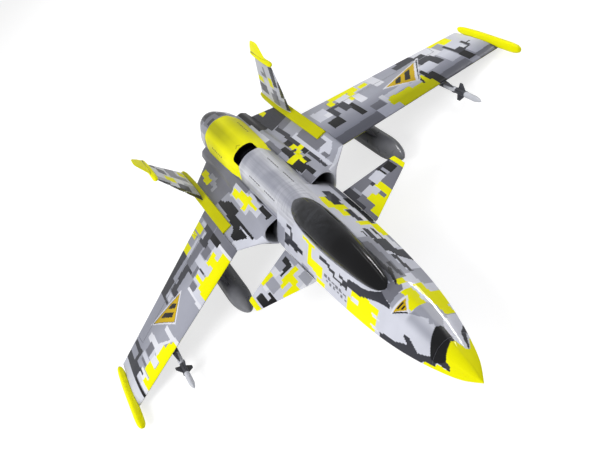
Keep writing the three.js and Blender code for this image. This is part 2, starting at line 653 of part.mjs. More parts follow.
// y, half width, half height
const TIP_POD = [
  [-162, 2.5, 3.4], [-158, 6, 7], [-148, 8.6, 10], [-125, 9.6, 11.6], [-40, 9.6, 11.4],
  [20, 8.2, 9.6], [42, 6.4, 7.6], [51, 3.6, 4.4], [54, 1.4, 2],
];
const TIP_POD_X = TIP_X + GAP + 9.7;
const TIP_POD_Z = TIP_Z + 2.5;
const tipPod = loft(TIP_POD.map(([y, a, b]) =>
  ellipse(a, b).map(([u, v]) => [TIP_POD_X + u, y, TIP_POD_Z + v])), XZ);
pair('tip_pod', tipPod, FINISH.yellow);
pair('aileron_servo', servoBody, FINISH.servo);
pair('servo_arm', servoArm, FINISH.lightPlastic);
pair('pushrod', pushrod, FINISH.rod);

// ---------------------------------------------------------------- fins
const fin = finLoft([
  [139.5, 142, 314, 32.2, 4.3, -2],
  [158.5, 160, 295, 80, 3.6, -2],
  [175.8, 178, 276, 126.5, 2.8, -1.5],
]);
pair('fin', fin, FINISH.wingGrey);

// y, half width, half height of the pod on top of the fin
const FIN_POD = [
  [174, 1, 1], [177, 4.2, 3.6], [186, 5.8, 4.6], [235, 5.6, 4.8],
  [280, 3.6, 3.4], [302, 1.4, 1.8], [306, 0.6, 0.8],
];
const FIN_POD_X = 178.3;
const FIN_POD_Z = 132;
const FIN_CANT = 0.37;         // x per z, skews the pod to suit the canted fin
const finPod = loft(FIN_POD.map(([y, a, b]) => ellipse(a, b).map(([u, v]) =>
  [FIN_POD_X + u + FIN_CANT * v, y, FIN_POD_Z + v - FIN_CANT * u * 0.4])), XZ);
const finCap = finLoft([
  [178.8, 201, 300, 134, 2.6], [186, 220, 293, 150, 2.0],
  [190.6, 231, 285, 160, 1.6], [193.2, 240, 275, 165, 1.0],
]);
pair('fin_pod', finPod.add(finCap), FINISH.yellow);

// ---------------------------------------------------------------- canards on one cross shaft
const CANARD_PROFILE = [[0, 0], [0.04, 0.45], [0.16, 0.82], [0.36, 1], [0.66, 0.66], [1, 0.1]];
const CANARD_TAPER_X = 77.5;   // where the taper starts
// leading y, trailing y, half thickness
const CANARD_INNER_ROW = [-308, -172, 4.6];
const CANARD_OUTER_ROW = [-247, -205, 2.1];
function canardRing(x) {
  const t = (x - CANARD_TAPER_X) / (CANARD_TIP - CANARD_TAPER_X);
  const [leading, trailing, halfThick] = mix(CANARD_INNER_ROW, CANARD_OUTER_ROW, t);
  return sectionRing(CANARD_PROFILE, (f, h, side) =>
    [x, leading + f * (trailing - leading), side * h * halfThick]);
}
const shaftSocket = rod([70, CANARD_Y, 0], [113, CANARD_Y, 0], 2.3, 16);
const canard = loft([CANARD_X0, 130, CANARD_X1].map(canardRing), YZ).subtract(shaftSocket);
// the outermost ring shrinks about y = -226
const canardEnd = canardRing(CANARD_TIP).map(([x, y, z]) => [x, -226 + (y + 226) * 0.92, z * 0.75]);
const canardTip = loft([canardRing(CANARD_X1 + GAP), canardRing(190), canardEnd], YZ);
pair('canard', canard, FINISH.wingFoam);
pair('canard_tip', canardTip, FINISH.yellow);

const LEVER_X = 14;            // middle of the shaft lever and servo arm
const LEVER_R = 13;            // height of the pushrod above both axes
const LEVER_SPAN = [LEVER_X - 1.2, LEVER_X + 1.2];
const LEVER_TOP = LEVER_R + 2.5;
const SERVO_Y = CANARD_Y + 34; // servo axis, one pushrod length behind the shaft
const canardShaft = rod([-112, CANARD_Y, 0], [112, CANARD_Y, 0], 2, 16)
  .add(box(LEVER_SPAN, [CANARD_Y - 3.4, CANARD_Y + 3.4], [-3.4, LEVER_TOP]));
const canardServo = box([LEVER_X - 14.6, LEVER_X - 2.0], [SERVO_Y - 6, SERVO_Y + 17], [-16, 4.5]);
const canardServoArm = box(LEVER_SPAN, [SERVO_Y - 2.4, SERVO_Y + 2.4], [-2.4, LEVER_TOP]);
const canardPushrod = box(
  [LEVER_X + 1.7, LEVER_X + 3.3], [CANARD_Y - 2, SERVO_Y + 2], [LEVER_R - 1.2, LEVER_R + 1.2]);
add('canard_shaft', canardShaft, FINISH.rod);
add('canard_servo', canardServo, FINISH.servo);
add('canard_servo_arm', canardServoArm, FINISH.lightPlastic);
add('canard_pushrod', canardPushrod, FINISH.rod);

// ---------------------------------------------------------------- ducted fan
// cylinder on the fan axis
function fanRod(radius, [y0, y1], segments) {
  const geometry = new THREE.CylinderGeometry(radius, radius, y1 - y0, segments);
  geometry.translate(0, (y0 + y1) / 2, FAN_Z);
  return solidOf(geometry);
}

// shroud, motor can on radial vanes, and two side lugs
function fanHousing() {
  const vaneCount = 5;
  const shroud = fanRod(38, [FAN_Y0, FAN_Y1], 32)
    .subtract(fanRod(35.7, [FAN_Y0 - 5, FAN_Y1 + 5], 32));
  let stator = fanRod(15.5, [178, FAN_Y1], 20)
    .subtract(fanRod(14.1, [176, FAN_Y1 - 2.5], 20))
    .subtract(fanRod(5, [170, 215], 12));
  for (let i = 0; i < vaneCount; i++) {
    const vane = new THREE.BoxGeometry(1.8, 24, 21.6);
    vane.translate(0, 0, 25.4);
    vane.rotateY(Math.PI * 2 * i / vaneCount + 0.3);
    vane.translate(0, 191, FAN_Z);
    stator = stator.add(solidOf(vane));
  }
  const lugs = box([37, 47], [160, 196], [6, 10]).add(box([-47, -37], [160, 196], [6, 10]));
  return shroud.add(stator).add(lugs);
}

// blade stations: radius, half chord, twist from the fan axis in degrees
const BLADE = [[12, 11, 46], [24, 10, 34], [34.9, 8.5, 26]];
const BLADE_COUNT = 9;
const BLADE_HALF_THICK = 0.8;
function fanBlade(turn) {
  const yAxis = new THREE.Vector3(0, 1, 0);
  const thick = BLADE_HALF_THICK;
  return loft(BLADE.map(([radius, half, degrees]) => {
    const twist = degrees * Math.PI / 180;
    const [c, s] = [Math.cos(twist), Math.sin(twist)];
    return [[-half, -thick], [half, -thick], [half, thick], [-half, thick]].map(([u, v]) => {
      const point = new THREE.Vector3(u * s - v * c, 165.5 + (u * c + v * s) * 0.98, radius);
      point.applyAxisAngle(yAxis, turn);
      return [point.x, point.y, point.z + FAN_Z];
    });
  }), XY);
}
// hub, blades and motor shaft
function fanRotor() {
  let rotor = fanRod(14, [156, 175], 20);
  for (let i = 0; i < BLADE_COUNT; i++) {
    rotor = rotor.add(fanBlade(Math.PI * 2 * i / BLADE_COUNT));
  }
  return rotor.add(fanRod(2, [174, 186], 24));
}
const SPINNER = [[132, 0], [134, 4.5], [140, 9], [148, 12.4], [155.7, 14], [155.7, 0]];
const fanMotor = fanRod(13.8, [177.5, 203], 20)
  .subtract(fanRod(2.1, [170, 190], 24))
  .add(fanRod(4.6, [202, 208], 12));
add('fan_housing', fanHousing(), FINISH.satinDark);
add('fan_rotor', fanRotor(), FINISH.carbon);
add('fan_spinner', latheY(0, FAN_Z, SPINNER, 20), FINISH.spinner);
add('fan_motor', fanMotor, FINISH.motor);

// ---------------------------------------------------------------- electronics and battery
const BATTERY_Z = -25.2;
const batteryStrap = box([-25.6, 25.6], [-372, -352], [BATTERY_Z, 14.8])
  .subtract(box([-23.3, 23.3], [-380, -345], [-30, 12.3]));
add('battery_tray', box([-24, 24], [-445, -285], [-28, -25.5]), FINISH.tray);
add('battery', box([-23, 23], [-435, -300], [BATTERY_Z, 12]), FINISH.battery);
add('battery_strap', batteryStrap, FINISH.strap);
add('receiver', box([-16, 16], [-208, -170], [-33, -20]), FINISH.receiver);
add('speed_controller', box([-18, 18], [-164, -100], [-34, -20]), FINISH.controller);

// ---------------------------------------------------------------- stores
// profiles are [y, radius]
const TANK = [
  [-152, 0], [-146, 5], [-132, 12], [-108, 18.5], [-76, TANK_R],
  [92, TANK_R], [120, 19.5], [140, 12.5], [152, 0],
];
const tankSolid = profile => latheY(TANK_X, TANK_Z, profile, 16, Math.PI / 16);
const tankGrown = tankSolid(TANK.map(([y, r]) => [y, r === 0 ? 0 : r + GAP]));
const tankPylon = finLoft([[TANK_X, -72, 56, -62, 4], [TANK_X, -64, 50, 6, 4]])
  .subtract(wingGrown)
  .subtract(tankGrown)
  .intersect(box([150, 300], [-200, 200], [-45, 2.6]));
pair('drop_tank', tankSolid(TANK), FINISH.tankGrey);
pair('tank_pylon', tankPylon, FINISH.pylon);

const MISSILE = [
  [-202, 0], [-195, 3.4], [-182, MISSILE_R], [-60, MISSILE_R], [-40, 3], [-38, 0],
];
const MISSILE_GROWN = [
  [-204, 0], [-195, 3.7], [-182, MISSILE_R + GAP], [-60, MISSILE_R + GAP], [-40, 3.3], [-36, 0],
];
const MISSILE_FIN = [[-148, 4], [-133, 17.5], [-125, 17.5], [-122, 4]];
const missileBody = profile => latheY(MISSILE_X, MISSILE_Z, profile, 14, Math.PI / 14);
function missile() {
  let solid = missileBody(MISSILE);
  for (let i = 0; i < 4; i++) {
    const angle = Math.PI / 4 + i * Math.PI / 2;
    const [c, s] = [Math.cos(angle), Math.sin(angle)];
    solid = solid.add(prism(MISSILE_FIN, [-0.7, 0.7], (y, radius, across) =>
      [MISSILE_X + radius * c - across * s, y, MISSILE_Z + radius * s + across * c]));
  }
  return solid;
}
const missilePylon = finLoft([
  [MISSILE_X, -118, -46, -60, 2.6],
  [MISSILE_X, -98, -20, -38, 2.6],
])
  .subtract(wingGrown)
  .subtract(missileBody(MISSILE_GROWN))
  .intersect(box([300, 500], [-200, 100], [-60, -44.5]));
pair('missile', missile(), FINISH.lightPlastic);
pair('missile_pylon', missilePylon, FINISH.pylon);

// ---------------------------------------------------------------- belly skid
const bellySkid = box([-20, 20], [-110, 96], [SKID_Z, -38]).subtract(coreGrown);
add('belly_skid', bellySkid, FINISH.mattDark);

const aircraft = new THREE.Group();
aircraft.add(model);
export default aircraft;
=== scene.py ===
# A moulded foam fan jet: fuselage with hatch and canopy, side ducts, nacelles, wings with
# ailerons, fins, canards and underwing stores. The nose points along -Y, left is +X, up is +Z.
# Lengths are in mm, and heights count from the chine waterline. Shaders, lights and the floor
# use metres, with heights from the frame's origin.
import math
from functools import partialmethod
import bpy
import numpy as np
from mathutils import Matrix, Vector


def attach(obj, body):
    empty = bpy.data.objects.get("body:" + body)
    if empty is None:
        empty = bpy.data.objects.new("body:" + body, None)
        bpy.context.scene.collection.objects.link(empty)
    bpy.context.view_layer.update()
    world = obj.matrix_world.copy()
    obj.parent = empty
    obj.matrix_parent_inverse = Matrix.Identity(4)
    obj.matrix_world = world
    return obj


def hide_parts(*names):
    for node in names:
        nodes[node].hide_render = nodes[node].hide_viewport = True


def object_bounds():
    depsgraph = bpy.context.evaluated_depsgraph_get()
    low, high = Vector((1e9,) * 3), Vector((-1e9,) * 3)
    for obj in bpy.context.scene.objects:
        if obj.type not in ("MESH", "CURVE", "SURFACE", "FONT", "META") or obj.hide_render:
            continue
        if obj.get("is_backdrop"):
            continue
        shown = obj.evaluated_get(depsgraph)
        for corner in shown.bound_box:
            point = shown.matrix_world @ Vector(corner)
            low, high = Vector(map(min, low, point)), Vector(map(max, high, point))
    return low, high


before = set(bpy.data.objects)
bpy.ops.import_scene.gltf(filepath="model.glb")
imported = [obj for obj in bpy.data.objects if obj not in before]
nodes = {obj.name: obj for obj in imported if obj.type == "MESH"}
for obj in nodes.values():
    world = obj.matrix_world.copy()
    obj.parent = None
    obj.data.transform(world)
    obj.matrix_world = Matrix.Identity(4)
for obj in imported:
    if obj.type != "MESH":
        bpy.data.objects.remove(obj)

cad_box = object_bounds()
scene = bpy.context.scene

LIFT = 52.0                                   # height of the chine waterline above the origin
NOSE_Y, NOSE_SPLIT, BODY_SPLIT, TAIL_SPLIT, TAIL_Y = -709.0, -628.0, -130.0, 384.0, 434.0
JOINT = 0.15                                  # half the gap between two body pieces
CANOPY_FRONT, CANOPY_REAR = -488, -166
HATCH_FRONT, HATCH_REAR = 92, 334
SPINE_REAR = 91.4
CANARD_SHAFT_Y = -256
STORE_Z = -60
SIDES = ((1, "left"), (-1, "right"))


# ------------------------------------------------------------------ numeric helpers
def lerp(a, b, t):
    return a + (b - a) * t


def monotone_cubic(knots, values, x):
    """Monotone cubic through (knots, values) at x. The values may hold several columns."""
    knots = np.asarray(knots, float)
    values = np.asarray(values, float)
    flat = values.ndim == 1
    if flat:
        values = values[:, None]
    gap = np.diff(knots)[:, None]
    slope = np.diff(values, axis=0) / gap
    tangent = np.zeros_like(values)
    w1 = 2 * gap[1:] + gap[:-1]
    w2 = gap[1:] + 2 * gap[:-1]
    with np.errstate(divide="ignore", invalid="ignore"):
        harmonic = (w1 + w2) / (w1 / slope[:-1] + w2 / slope[1:])
    tangent[1:-1] = np.where(slope[:-1] * slope[1:] > 0, harmonic, 0)
    tangent[0], tangent[-1] = slope[0], slope[-1]
    x = np.clip(np.asarray(x, float), knots[0], knots[-1])
    i = np.clip(np.searchsorted(knots, x, side="right") - 1, 0, len(knots) - 2)
    t = ((x - knots[i]) / (knots[i + 1] - knots[i]))[:, None]
    span = (knots[i + 1] - knots[i])[:, None]
    out = ((2 * t**3 - 3 * t**2 + 1) * values[i] + (t**3 - 2 * t**2 + t) * span * tangent[i]
           + (-2 * t**3 + 3 * t**2) * values[i + 1] + (t**3 - t**2) * span * tangent[i + 1])
    return out[:, 0] if flat else out


def catmull_rom(points, steps, before=None, after=None):
    """Curve through the points, so many steps per span, with the end point included."""
    points = np.asarray(points, float)
    head = 2 * points[0] - points[1] if before is None else before
    tail = 2 * points[-1] - points[-2] if after is None else after
    ext = np.concatenate([[head], points, [tail]])
    out = []
    for a, b, c, d in zip(ext, ext[1:], ext[2:], ext[3:]):
        for j in range(steps):
            t = j / steps
            out.append(0.5 * (2 * b + (c - a) * t + (2 * a - 5 * b + 4 * c - d) * t * t
                              + (3 * b - a - 3 * c + d) * t**3))
    out.append(points[-1])
    return np.array(out)


def stations(start, end, step):
    return np.linspace(start, end, max(2, int(round((end - start) / step)) + 1))


def merged(*parts):
    return np.unique(np.concatenate(parts))


def circle(count):
    return np.linspace(0, 2 * np.pi, count, endpoint=False)


def columns_at(table, x):
    """The columns of a station table, linear between its stations."""
    return np.stack([np.interp(x, table[:, 0], column) for column in table.T[1:]], -1)


# ------------------------------------------------------------------ shader helpers
def srgb(*rgb):
    parts = (c / 255 for c in rgb)
    return tuple(c / 12.92 if c <= 0.04045 else ((c + 0.055) / 1.055) ** 2.4
                 for c in parts) + (1.0,)


def adjust(colour, gain, lift=0.0):
    return tuple(min(1, gain * c + lift) for c in colour[:3]) + (1,)


class Shader:
    """A material with a Principled surface, and short calls that add nodes to it."""

    def __init__(self, name, placed=True):
        self.material = bpy.data.materials.new(name)
        self.material.use_nodes = True
        self.tree = self.material.node_tree
        self.tree.nodes.clear()
        self.output = self.node("OutputMaterial")
        self.surface = self.node("BsdfPrincipled")
        self.feed(self.output.inputs[0], self.surface.outputs[0])
        if placed:
            self.place = self.node("TexCoord").outputs["Object"]

    def feed(self, socket, value):
        """Links another socket to this one, or sets its value."""
        if isinstance(value, bpy.types.NodeSocket):
            self.tree.links.new(value, socket)
        else:
            socket.default_value = value

    def fill(self, node, **inputs):
        for name, value in inputs.items():
            self.feed(node.inputs[name.replace("_", " ")], value)

    def node(self, kind, **inputs):
        node = self.tree.nodes.new("ShaderNode" + kind)
        self.fill(node, **inputs)
        return node

    def set(self, **inputs):
        self.fill(self.surface, **inputs)

    def paint(self, colour):
        self.colour = colour
        self.set(Base_Color=colour)

    def calc(self, operation, a, b=None, clamp=False):
        node = self.node("Math")
        node.operation = operation
        node.use_clamp = clamp
        for socket, value in zip(node.inputs, (a, b)):
            if value is not None:
                self.feed(socket, value)
        return node.outputs[0]

    add = partialmethod(calc, "ADD")
    subtract = partialmethod(calc, "SUBTRACT")
    multiply = partialmethod(calc, "MULTIPLY")
    absolute = partialmethod(calc, "ABSOLUTE")
    fraction = partialmethod(calc, "FRACT")
    less = partialmethod(calc, "LESS_THAN")
    greater = partialmethod(calc, "GREATER_THAN")

    def within(self, value, reach):
        return self.less(self.absolute(value), reach)

    def mix(self, factor, a, b, blend="MIX"):
        node = self.node("Mix")
        node.data_type = "RGBA"
        node.blend_type = blend
        for index, value in ((0, factor), (6, a), (7, b)):
            self.feed(node.inputs[index], value)
        return node.outputs[2]

    def ramp(self, factor, *stops):
        """Colour ramp through stops of (position, grey value or colour)."""
        node = self.node("ValToRGB", Fac=factor)
        elements = node.color_ramp.elements
        while len(elements) < len(stops):
            elements.new(0.5)
        for element, (position, value) in zip(elements, stops):
            element.position = position
            element.color = value if isinstance(value, tuple) else (value, value, value, 1)
        return node.outputs[0]

    def noise(self, scale, detail=3.0, rough=0.5, distort=0.0, stretch=None, at=None):
        at = at or self.place
        if stretch is not None:
            at = self.node("Mapping", Scale=stretch, Vector=at).outputs[0]
        return self.node("TexNoise", Scale=scale, Detail=detail, Roughness=rough,
                         Distortion=distort, Vector=at).outputs["Fac"]

    def bump(self, height, strength, distance):
        node = self.node("Bump", Strength=strength, Distance=distance, Height=height)
        self.set(Normal=node.outputs[0])

    def split(self):
        return self.node("SeparateXYZ", Vector=self.place).outputs


# ------------------------------------------------------------------ materials
def painted(name, rgb, rough=0.36, coat=0.55, variation=0.05, grain=0.10, wear=0.25, gloss=0.5):
    """Lacquered moulded foam: bead grain, handling marks in the gloss and pale rubbed edges."""
    shader = Shader(name)
    paint = srgb(*rgb)
    cloud = shader.noise(scale=9.0, detail=4, rough=0.55, distort=0.4)
    colour = shader.mix(shader.ramp(cloud, (0.3, 0.0), (0.7, 1.0)),
                        adjust(paint, gain=1 - 2.2 * variation),
                        adjust(paint, gain=1 + 1.2 * variation))
    speck = shader.noise(scale=420.0, detail=2, rough=0.6)
    colour = shader.mix(shader.ramp(speck, (0.60, 0.0), (0.74, 0.16)), colour,
                        adjust(paint, gain=0.72))
    pointed = shader.node("NewGeometry").outputs["Pointiness"]
    edge = shader.ramp(pointed, (0.52, 0.0), (0.60, 1.0))
    chips = shader.ramp(shader.noise(scale=55.0, detail=4, rough=0.65), (0.50, 0.0), (0.66, 1.0))
    rub = shader.multiply(shader.multiply(edge, chips), wear)
    colour = shader.mix(rub, colour, adjust(paint, gain=0.65, lift=0.35))
    shade_attribute = shader.node("Attribute")            # painted shade, where a piece carries it
    shade_attribute.attribute_name = "painted_shade"
    shader.paint(shader.mix(shade_attribute.outputs["Fac"], colour, (0.42, 0.43, 0.47, 1.0), "MULTIPLY"))
    marks = shader.noise(scale=38.0, detail=5, rough=0.62, distort=0.8, stretch=(1.0, 0.35, 1.0))
    dull = shader.add(shader.multiply(shader.ramp(marks, (0.35, 0.0), (0.75, 1.0)), 0.16),
                      rough - 0.06)
    shader.set(Roughness=shader.add(dull, shader.multiply(rub, 0.3)), Coat_Weight=coat,
               Coat_Roughness=0.04, Specular_IOR_Level=gloss)
    beads = shader.node("TexVoronoi", Scale=430.0, Vector=shader.place)
    beads.feature = "SMOOTH_F1"
    # beads, a fine grain over them and slow waves
    height = shader.add(beads.outputs["Distance"],
                        shader.multiply(shader.noise(scale=1500.0, detail=2), 0.35))
    height = shader.add(height, shader.multiply(shader.noise(scale=22.0, detail=2), 1.6))
    shader.bump(height, strength=grain, distance=0.0006)
    return shader


def silver_satin():
    """Spine cover: satin silver with stitch-like dashes and streaks, and painted reflections in
    bands, across the width and in arcs behind the canopy.
    """
    shader = Shader("silver_satin")
    x, y, _ = shader.split()
    side = shader.absolute(x)
    # painted reflection in soft light and dark bands
    band = shader.noise(scale=10.0, detail=2, rough=0.5, distort=1.6, stretch=(0.5, 1.0, 0.5))
    base = shader.mix(shader.ramp(band, (0.38, 0.0), (0.62, 1.0)),
                      srgb(166, 168, 180), srgb(232, 233, 241))
    # painted reflection across the width, dark down the middle, bright 24 to 34 mm out and darker
    # by 46 mm; stops from the middle out to 50 mm
    across = shader.ramp(shader.multiply(side, 1000 / 50),
                         (0.0, srgb(156, 158, 172)), (0.26, srgb(166, 168, 182)),
                         (0.48, srgb(236, 237, 244)), (0.68, srgb(222, 223, 232)),
                         (0.92, srgb(140, 142, 154)))
    base = shader.mix(0.72, base, across)
    # two runs of dashes each side, 26.8 mm out, at 95 dashes a metre
    line = shader.within(shader.subtract(side, 0.0268), 0.00085)
    dash = shader.greater(shader.fraction(shader.multiply(y, 95.0)), 0.13)
    runs = shader.add(shader.within(shader.add(y, 0.083), 0.027),
                      shader.within(shader.add(y, 0.002), 0.031), clamp=True)
    stitch = shader.multiply(shader.multiply(line, dash), runs)
    streak = shader.noise(scale=150.0, detail=3, rough=0.6, stretch=(1.0, 0.03, 1.0))
    base = shader.mix(shader.ramp(streak, (0.42, 0.0), (0.66, 0.42)), base, srgb(136, 139, 153))
    # painted reflection in arcs about a point 190 mm ahead of the origin, fading out by a radius
    # of 165 mm
    along = shader.add(y, 0.19)
    radius = shader.calc("SQRT", shader.add(shader.multiply(side, side),
                                            shader.multiply(along, along)))
    rings = shader.noise(scale=260.0, detail=3, rough=0.6,
                         at=shader.node("CombineXYZ", X=radius).outputs[0])
    arcs = shader.ramp(rings, (0.48, 0.0), (0.60, 1.0))
    near = shader.multiply(shader.subtract(0.165, radius), 14.0, clamp=True)
    middle = shader.less(side, 0.030)
    arc_share = shader.multiply(shader.multiply(arcs, near), shader.multiply(middle, 0.36))
    base = shader.mix(arc_share, base, srgb(128, 131, 146))
    shader.paint(shader.mix(shader.multiply(stitch, 0.92), base, srgb(48, 50, 58)))
    shader.set(Metallic=0.15, Coat_Weight=0.5, Coat_Roughness=0.12)
    smudge = shader.noise(scale=30, detail=4, rough=0.6, distort=0.6)
    shader.set(Roughness=shader.add(shader.multiply(smudge, 0.16), 0.24))
    # slow waves, less the sunken stitches
    waves = shader.multiply(shader.noise(scale=16, detail=2, distort=1.0), 2.2)
    shader.bump(shader.subtract(waves, shader.multiply(stitch, 0.8)),
                strength=0.18, distance=0.0006)
    return shader.material


def hatch_yellow():
    """Hatch: fluorescent yellow, darkened to olive along the crown by painted shade, with dashes
    and one chevron.
    """
    shader = painted("hatch_yellow", (246, 243, 1), rough=0.40, coat=0.12, variation=0.03,
                     wear=0.04, gloss=0.06)
    x, y, _ = shader.split()
    side = shader.absolute(x)
    # painted shade along the crown, stronger towards the rear: it runs 6 mm right of the middle
    # and fades within 30 mm
    crown = shader.ramp(shader.multiply(shader.absolute(shader.add(x, 0.006)), 1000 / 30),
                        (0.24, 0.60), (0.76, 0.0))
    aft = shader.multiply(shader.subtract(y, 0.135), 9.0, clamp=True)
    share = shader.multiply(crown, shader.add(shader.multiply(aft, 0.6), 0.4, clamp=True))
    crown_shaded = shader.mix(share, shader.colour, srgb(128, 128, 0))
    # a dashed line 42.5 mm out each side, at 92 dashes a metre
    line = shader.within(shader.subtract(side, 0.0425), 0.0011)
    dash = shader.greater(shader.fraction(shader.multiply(y, 92.0)), 0.42)
    run = shader.within(shader.subtract(y, 0.235), 0.036)
    ink = shader.multiply(shader.multiply(line, dash), run)
    # the chevron behind the slot
    swept = shader.subtract(shader.add(y, shader.multiply(side, 1.2)), 0.152)
    chevron = shader.multiply(shader.within(swept, 0.0022), shader.less(side, 0.0065))
    ink = shader.add(shader.multiply(ink, 0.8), shader.multiply(chevron, 0.45), clamp=True)
    shader.paint(shader.mix(ink, crown_shaded, srgb(52, 52, 6)))
    return shader.material


def plain_finish(name, rgb, rough, metal, coat, scale, bump, variation, stretch):
    """A clouded colour with one grain noise in its colour, gloss and relief."""
    shader = Shader(name)
    tint = srgb(*rgb)
    cloud = shader.noise(scale=18.0, detail=4, rough=0.6, distort=0.3)
    grain = shader.noise(scale=scale, detail=3, rough=0.6, stretch=stretch)
    colour = shader.mix(shader.ramp(cloud, (0.3, 0.0), (0.7, 1.0)),
                        adjust(tint, gain=1 - variation), adjust(tint, gain=1 + variation))
    shader.paint(shader.mix(shader.ramp(grain, (0.55, 0.0), (0.8, 0.35)), colour,
                            adjust(tint, gain=1.35, lift=0.01)))
    shader.set(Roughness=shader.add(shader.multiply(grain, 0.18), rough - 0.09),
               Metallic=metal, Coat_Weight=coat, Coat_Roughness=0.08)
    shader.bump(grain, strength=bump, distance=0.0003)
    return shader


def lighten_duct_mouth(shader):
    """Painted light: the duct lightens towards the lower lip of its mouth, where light reaches
    in.
    """
    _, y, z = shader.split()
    mouth = shader.multiply(shader.subtract(-0.084, y), 26.0, clamp=True)
    lower = shader.multiply(shader.subtract(0.078, z), 60.0, clamp=True)
    shader.paint(shader.mix(shader.multiply(mouth, lower), shader.colour, srgb(190, 192, 200)))


def weave(name, dark, pale, scale):
    """Two-tone twill."""
    shader = Shader(name)
    wave = shader.node("TexWave", Scale=scale, Vector=shader.place)
    wave.bands_direction = "DIAGONAL"
    fuzz = shader.noise(scale=500, detail=2)
    twill = shader.ramp(wave.outputs["Fac"], (0.45, 0.0), (0.55, 1.0))
    colour = shader.mix(twill, srgb(*dark), srgb(*pale))
    shader.paint(shader.mix(shader.multiply(fuzz, 0.25), colour, srgb(*dark)))
    shader.set(Roughness=0.42)
    shader.bump(wave.outputs["Fac"], strength=0.3, distance=0.0002)
    return shader.material


def canopy_smoke():
    """Smoked acrylic: black from above and marbled at the rear, with a painted reflection that
    greys it where it turns away.
    """
    shader = Shader("canopy_smoke")
    facing = shader.node("LayerWeight", Blend=0.35).outputs["Facing"]
    cloud = shader.noise(scale=7.0, detail=3, distort=0.5)
    inner = shader.mix(shader.ramp(cloud, (0.35, 0.0), (0.7, 1.0)),
                       srgb(4, 4, 6), srgb(16, 16, 19))
    rear = shader.multiply(shader.add(shader.split()[1], 0.36), 5.0, clamp=True)
    veins = shader.noise(scale=22.0, detail=5, rough=0.65, distort=1.2)
    marble = shader.mix(shader.ramp(veins, (0.36, 0.0), (0.62, 1.0)),
                        srgb(34, 35, 39), srgb(78, 80, 86))
    inner = shader.mix(shader.multiply(rear, 0.85), inner, marble)
    # painted reflection: grey where the glass turns away from the eye
    shader.paint(shader.mix(shader.ramp(facing, (0.55, 0.0), (0.98, 0.6)), inner,
                            srgb(84, 86, 94)))
    smudge = shader.multiply(shader.noise(scale=60, detail=4, rough=0.7), 0.06)
    shader.set(Roughness=shader.add(smudge, 0.10), Coat_Weight=0.35, Coat_Roughness=0.12,
               Specular_IOR_Level=0.22)
    shader.bump(shader.noise(scale=14, detail=2), strength=0.003, distance=0.0004)
    return shader.material


# Slots of the shared palette. The camouflage tables use the letters, in the same order.
(LIGHT, MID, GREY, DARK, BLACK, YELLOW, WHITE, FOAM, AMBER, SILVER, HATCH_PAINT,
 RAIL_PAINT) = range(12)
LETTERS = "LMGDKYWFA"
PALETTE = [shader.material for shader in (
    painted("camo_light", (209, 211, 223)),
    painted("camo_mid", (160, 162, 175)),
    painted("camo_grey", (112, 113, 124)),
    painted("camo_dark", (50, 51, 60), wear=0.10, gloss=0.3),
    painted("camo_black", (13, 13, 17), wear=0.05, gloss=0.2),
    painted("fluo_yellow", (241, 238, 1), rough=0.42, coat=0.14, variation=0.03, wear=0.04,
            gloss=0.06),
    painted("camo_white", (228, 229, 237), wear=0.1),
    painted("cut_foam", (176, 178, 186), rough=0.6, coat=0.0, grain=0.5, wear=0.0),
    painted("decal_amber", (204, 170, 10), rough=0.40, coat=0.45, wear=0.02, gloss=0.06))]
rail_material = painted("rail_yellow", (196, 194, 1), rough=0.42, coat=0.16, variation=0.04,
                        wear=0.04, gloss=0.06).material
PALETTE += [silver_satin(), hatch_yellow(), rail_material]

# name, colour, roughness, metallic, coat, grain scale, grain bump, colour variation, stretch
PLAIN = [
    ("store_grey", (112, 113, 118), 0.30, 0.0, 0.5, 60, 0.08, 0.10, None),
    ("missile_grey", (196, 198, 206), 0.32, 0.0, 0.4, 90, 0.06, 0.06, None),
    ("missile_dark", (62, 63, 70), 0.36, 0.0, 0.3, 90, 0.06, 0.12, None),
    ("pylon_dark", (74, 75, 82), 0.40, 0.0, 0.2, 120, 0.08, 0.12, None),
    ("duct_black", (22, 22, 25), 0.42, 0.0, 0.2, 200, 0.1, 0.12, None),
    ("skid_plastic", (40, 41, 45), 0.55, 0.0, 0.0, 700, 0.4, 0.12, None),
    ("fan_composite", (30, 31, 34), 0.38, 0.0, 0.2, 500, 0.2, 0.12, None),
    ("alloy", (188, 190, 196), 0.30, 1.0, 0.0, 260, 0.12, 0.12, (1, 0.05, 1)),
    ("control_horn", (214, 214, 208), 0.45, 0.0, 0.0, 500, 0.1, 0.04, None),
    ("servo_case", (26, 28, 34), 0.42, 0.0, 0.1, 600, 0.3, 0.12, None),
    ("electronics", (30, 46, 60), 0.5, 0.0, 0.1, 320, 0.3, 0.2, None),
    ("battery_wrap", (38, 42, 60), 0.28, 0.0, 0.5, 120, 0.2, 0.15, None),
    ("plywood", (196, 160, 104), 0.62, 0.0, 0.0, 120, 0.25, 0.10, (6.0, 0.35, 6.0)),
    ("cockpit_frame", (40, 41, 45), 0.6, 0.0, 0.0, 400, 0.25, 0.12, None),
]
plain_shaders = {row[0]: plain_finish(*row) for row in PLAIN}
lighten_duct_mouth(plain_shaders["duct_black"])
FINISH = {name: shader.material for name, shader in plain_shaders.items()}
FINISH["carbon"] = weave("carbon", dark=(20, 20, 23), pale=(48, 49, 54), scale=260)
FINISH["strap"] = weave("strap", dark=(18, 18, 20), pale=(52, 53, 58), scale=420)
canopy_material = canopy_smoke()


# ------------------------------------------------------------------ mesh helpers
def mesh_object(name, points, faces, tints, materials=None):
    mesh = bpy.data.meshes.new(name)
    points = (np.asarray(points, float) + (0, 0, LIFT)) * 0.001
    mesh.from_pydata(points.tolist(), [], faces)
    mesh.update()
    for material in materials or PALETTE:
        mesh.materials.append(material)
    body = bpy.data.objects.new(name, mesh)
    scene.collection.objects.link(body)
    mesh.polygons.foreach_set("material_index", np.asarray(tints, np.int32))
    return body


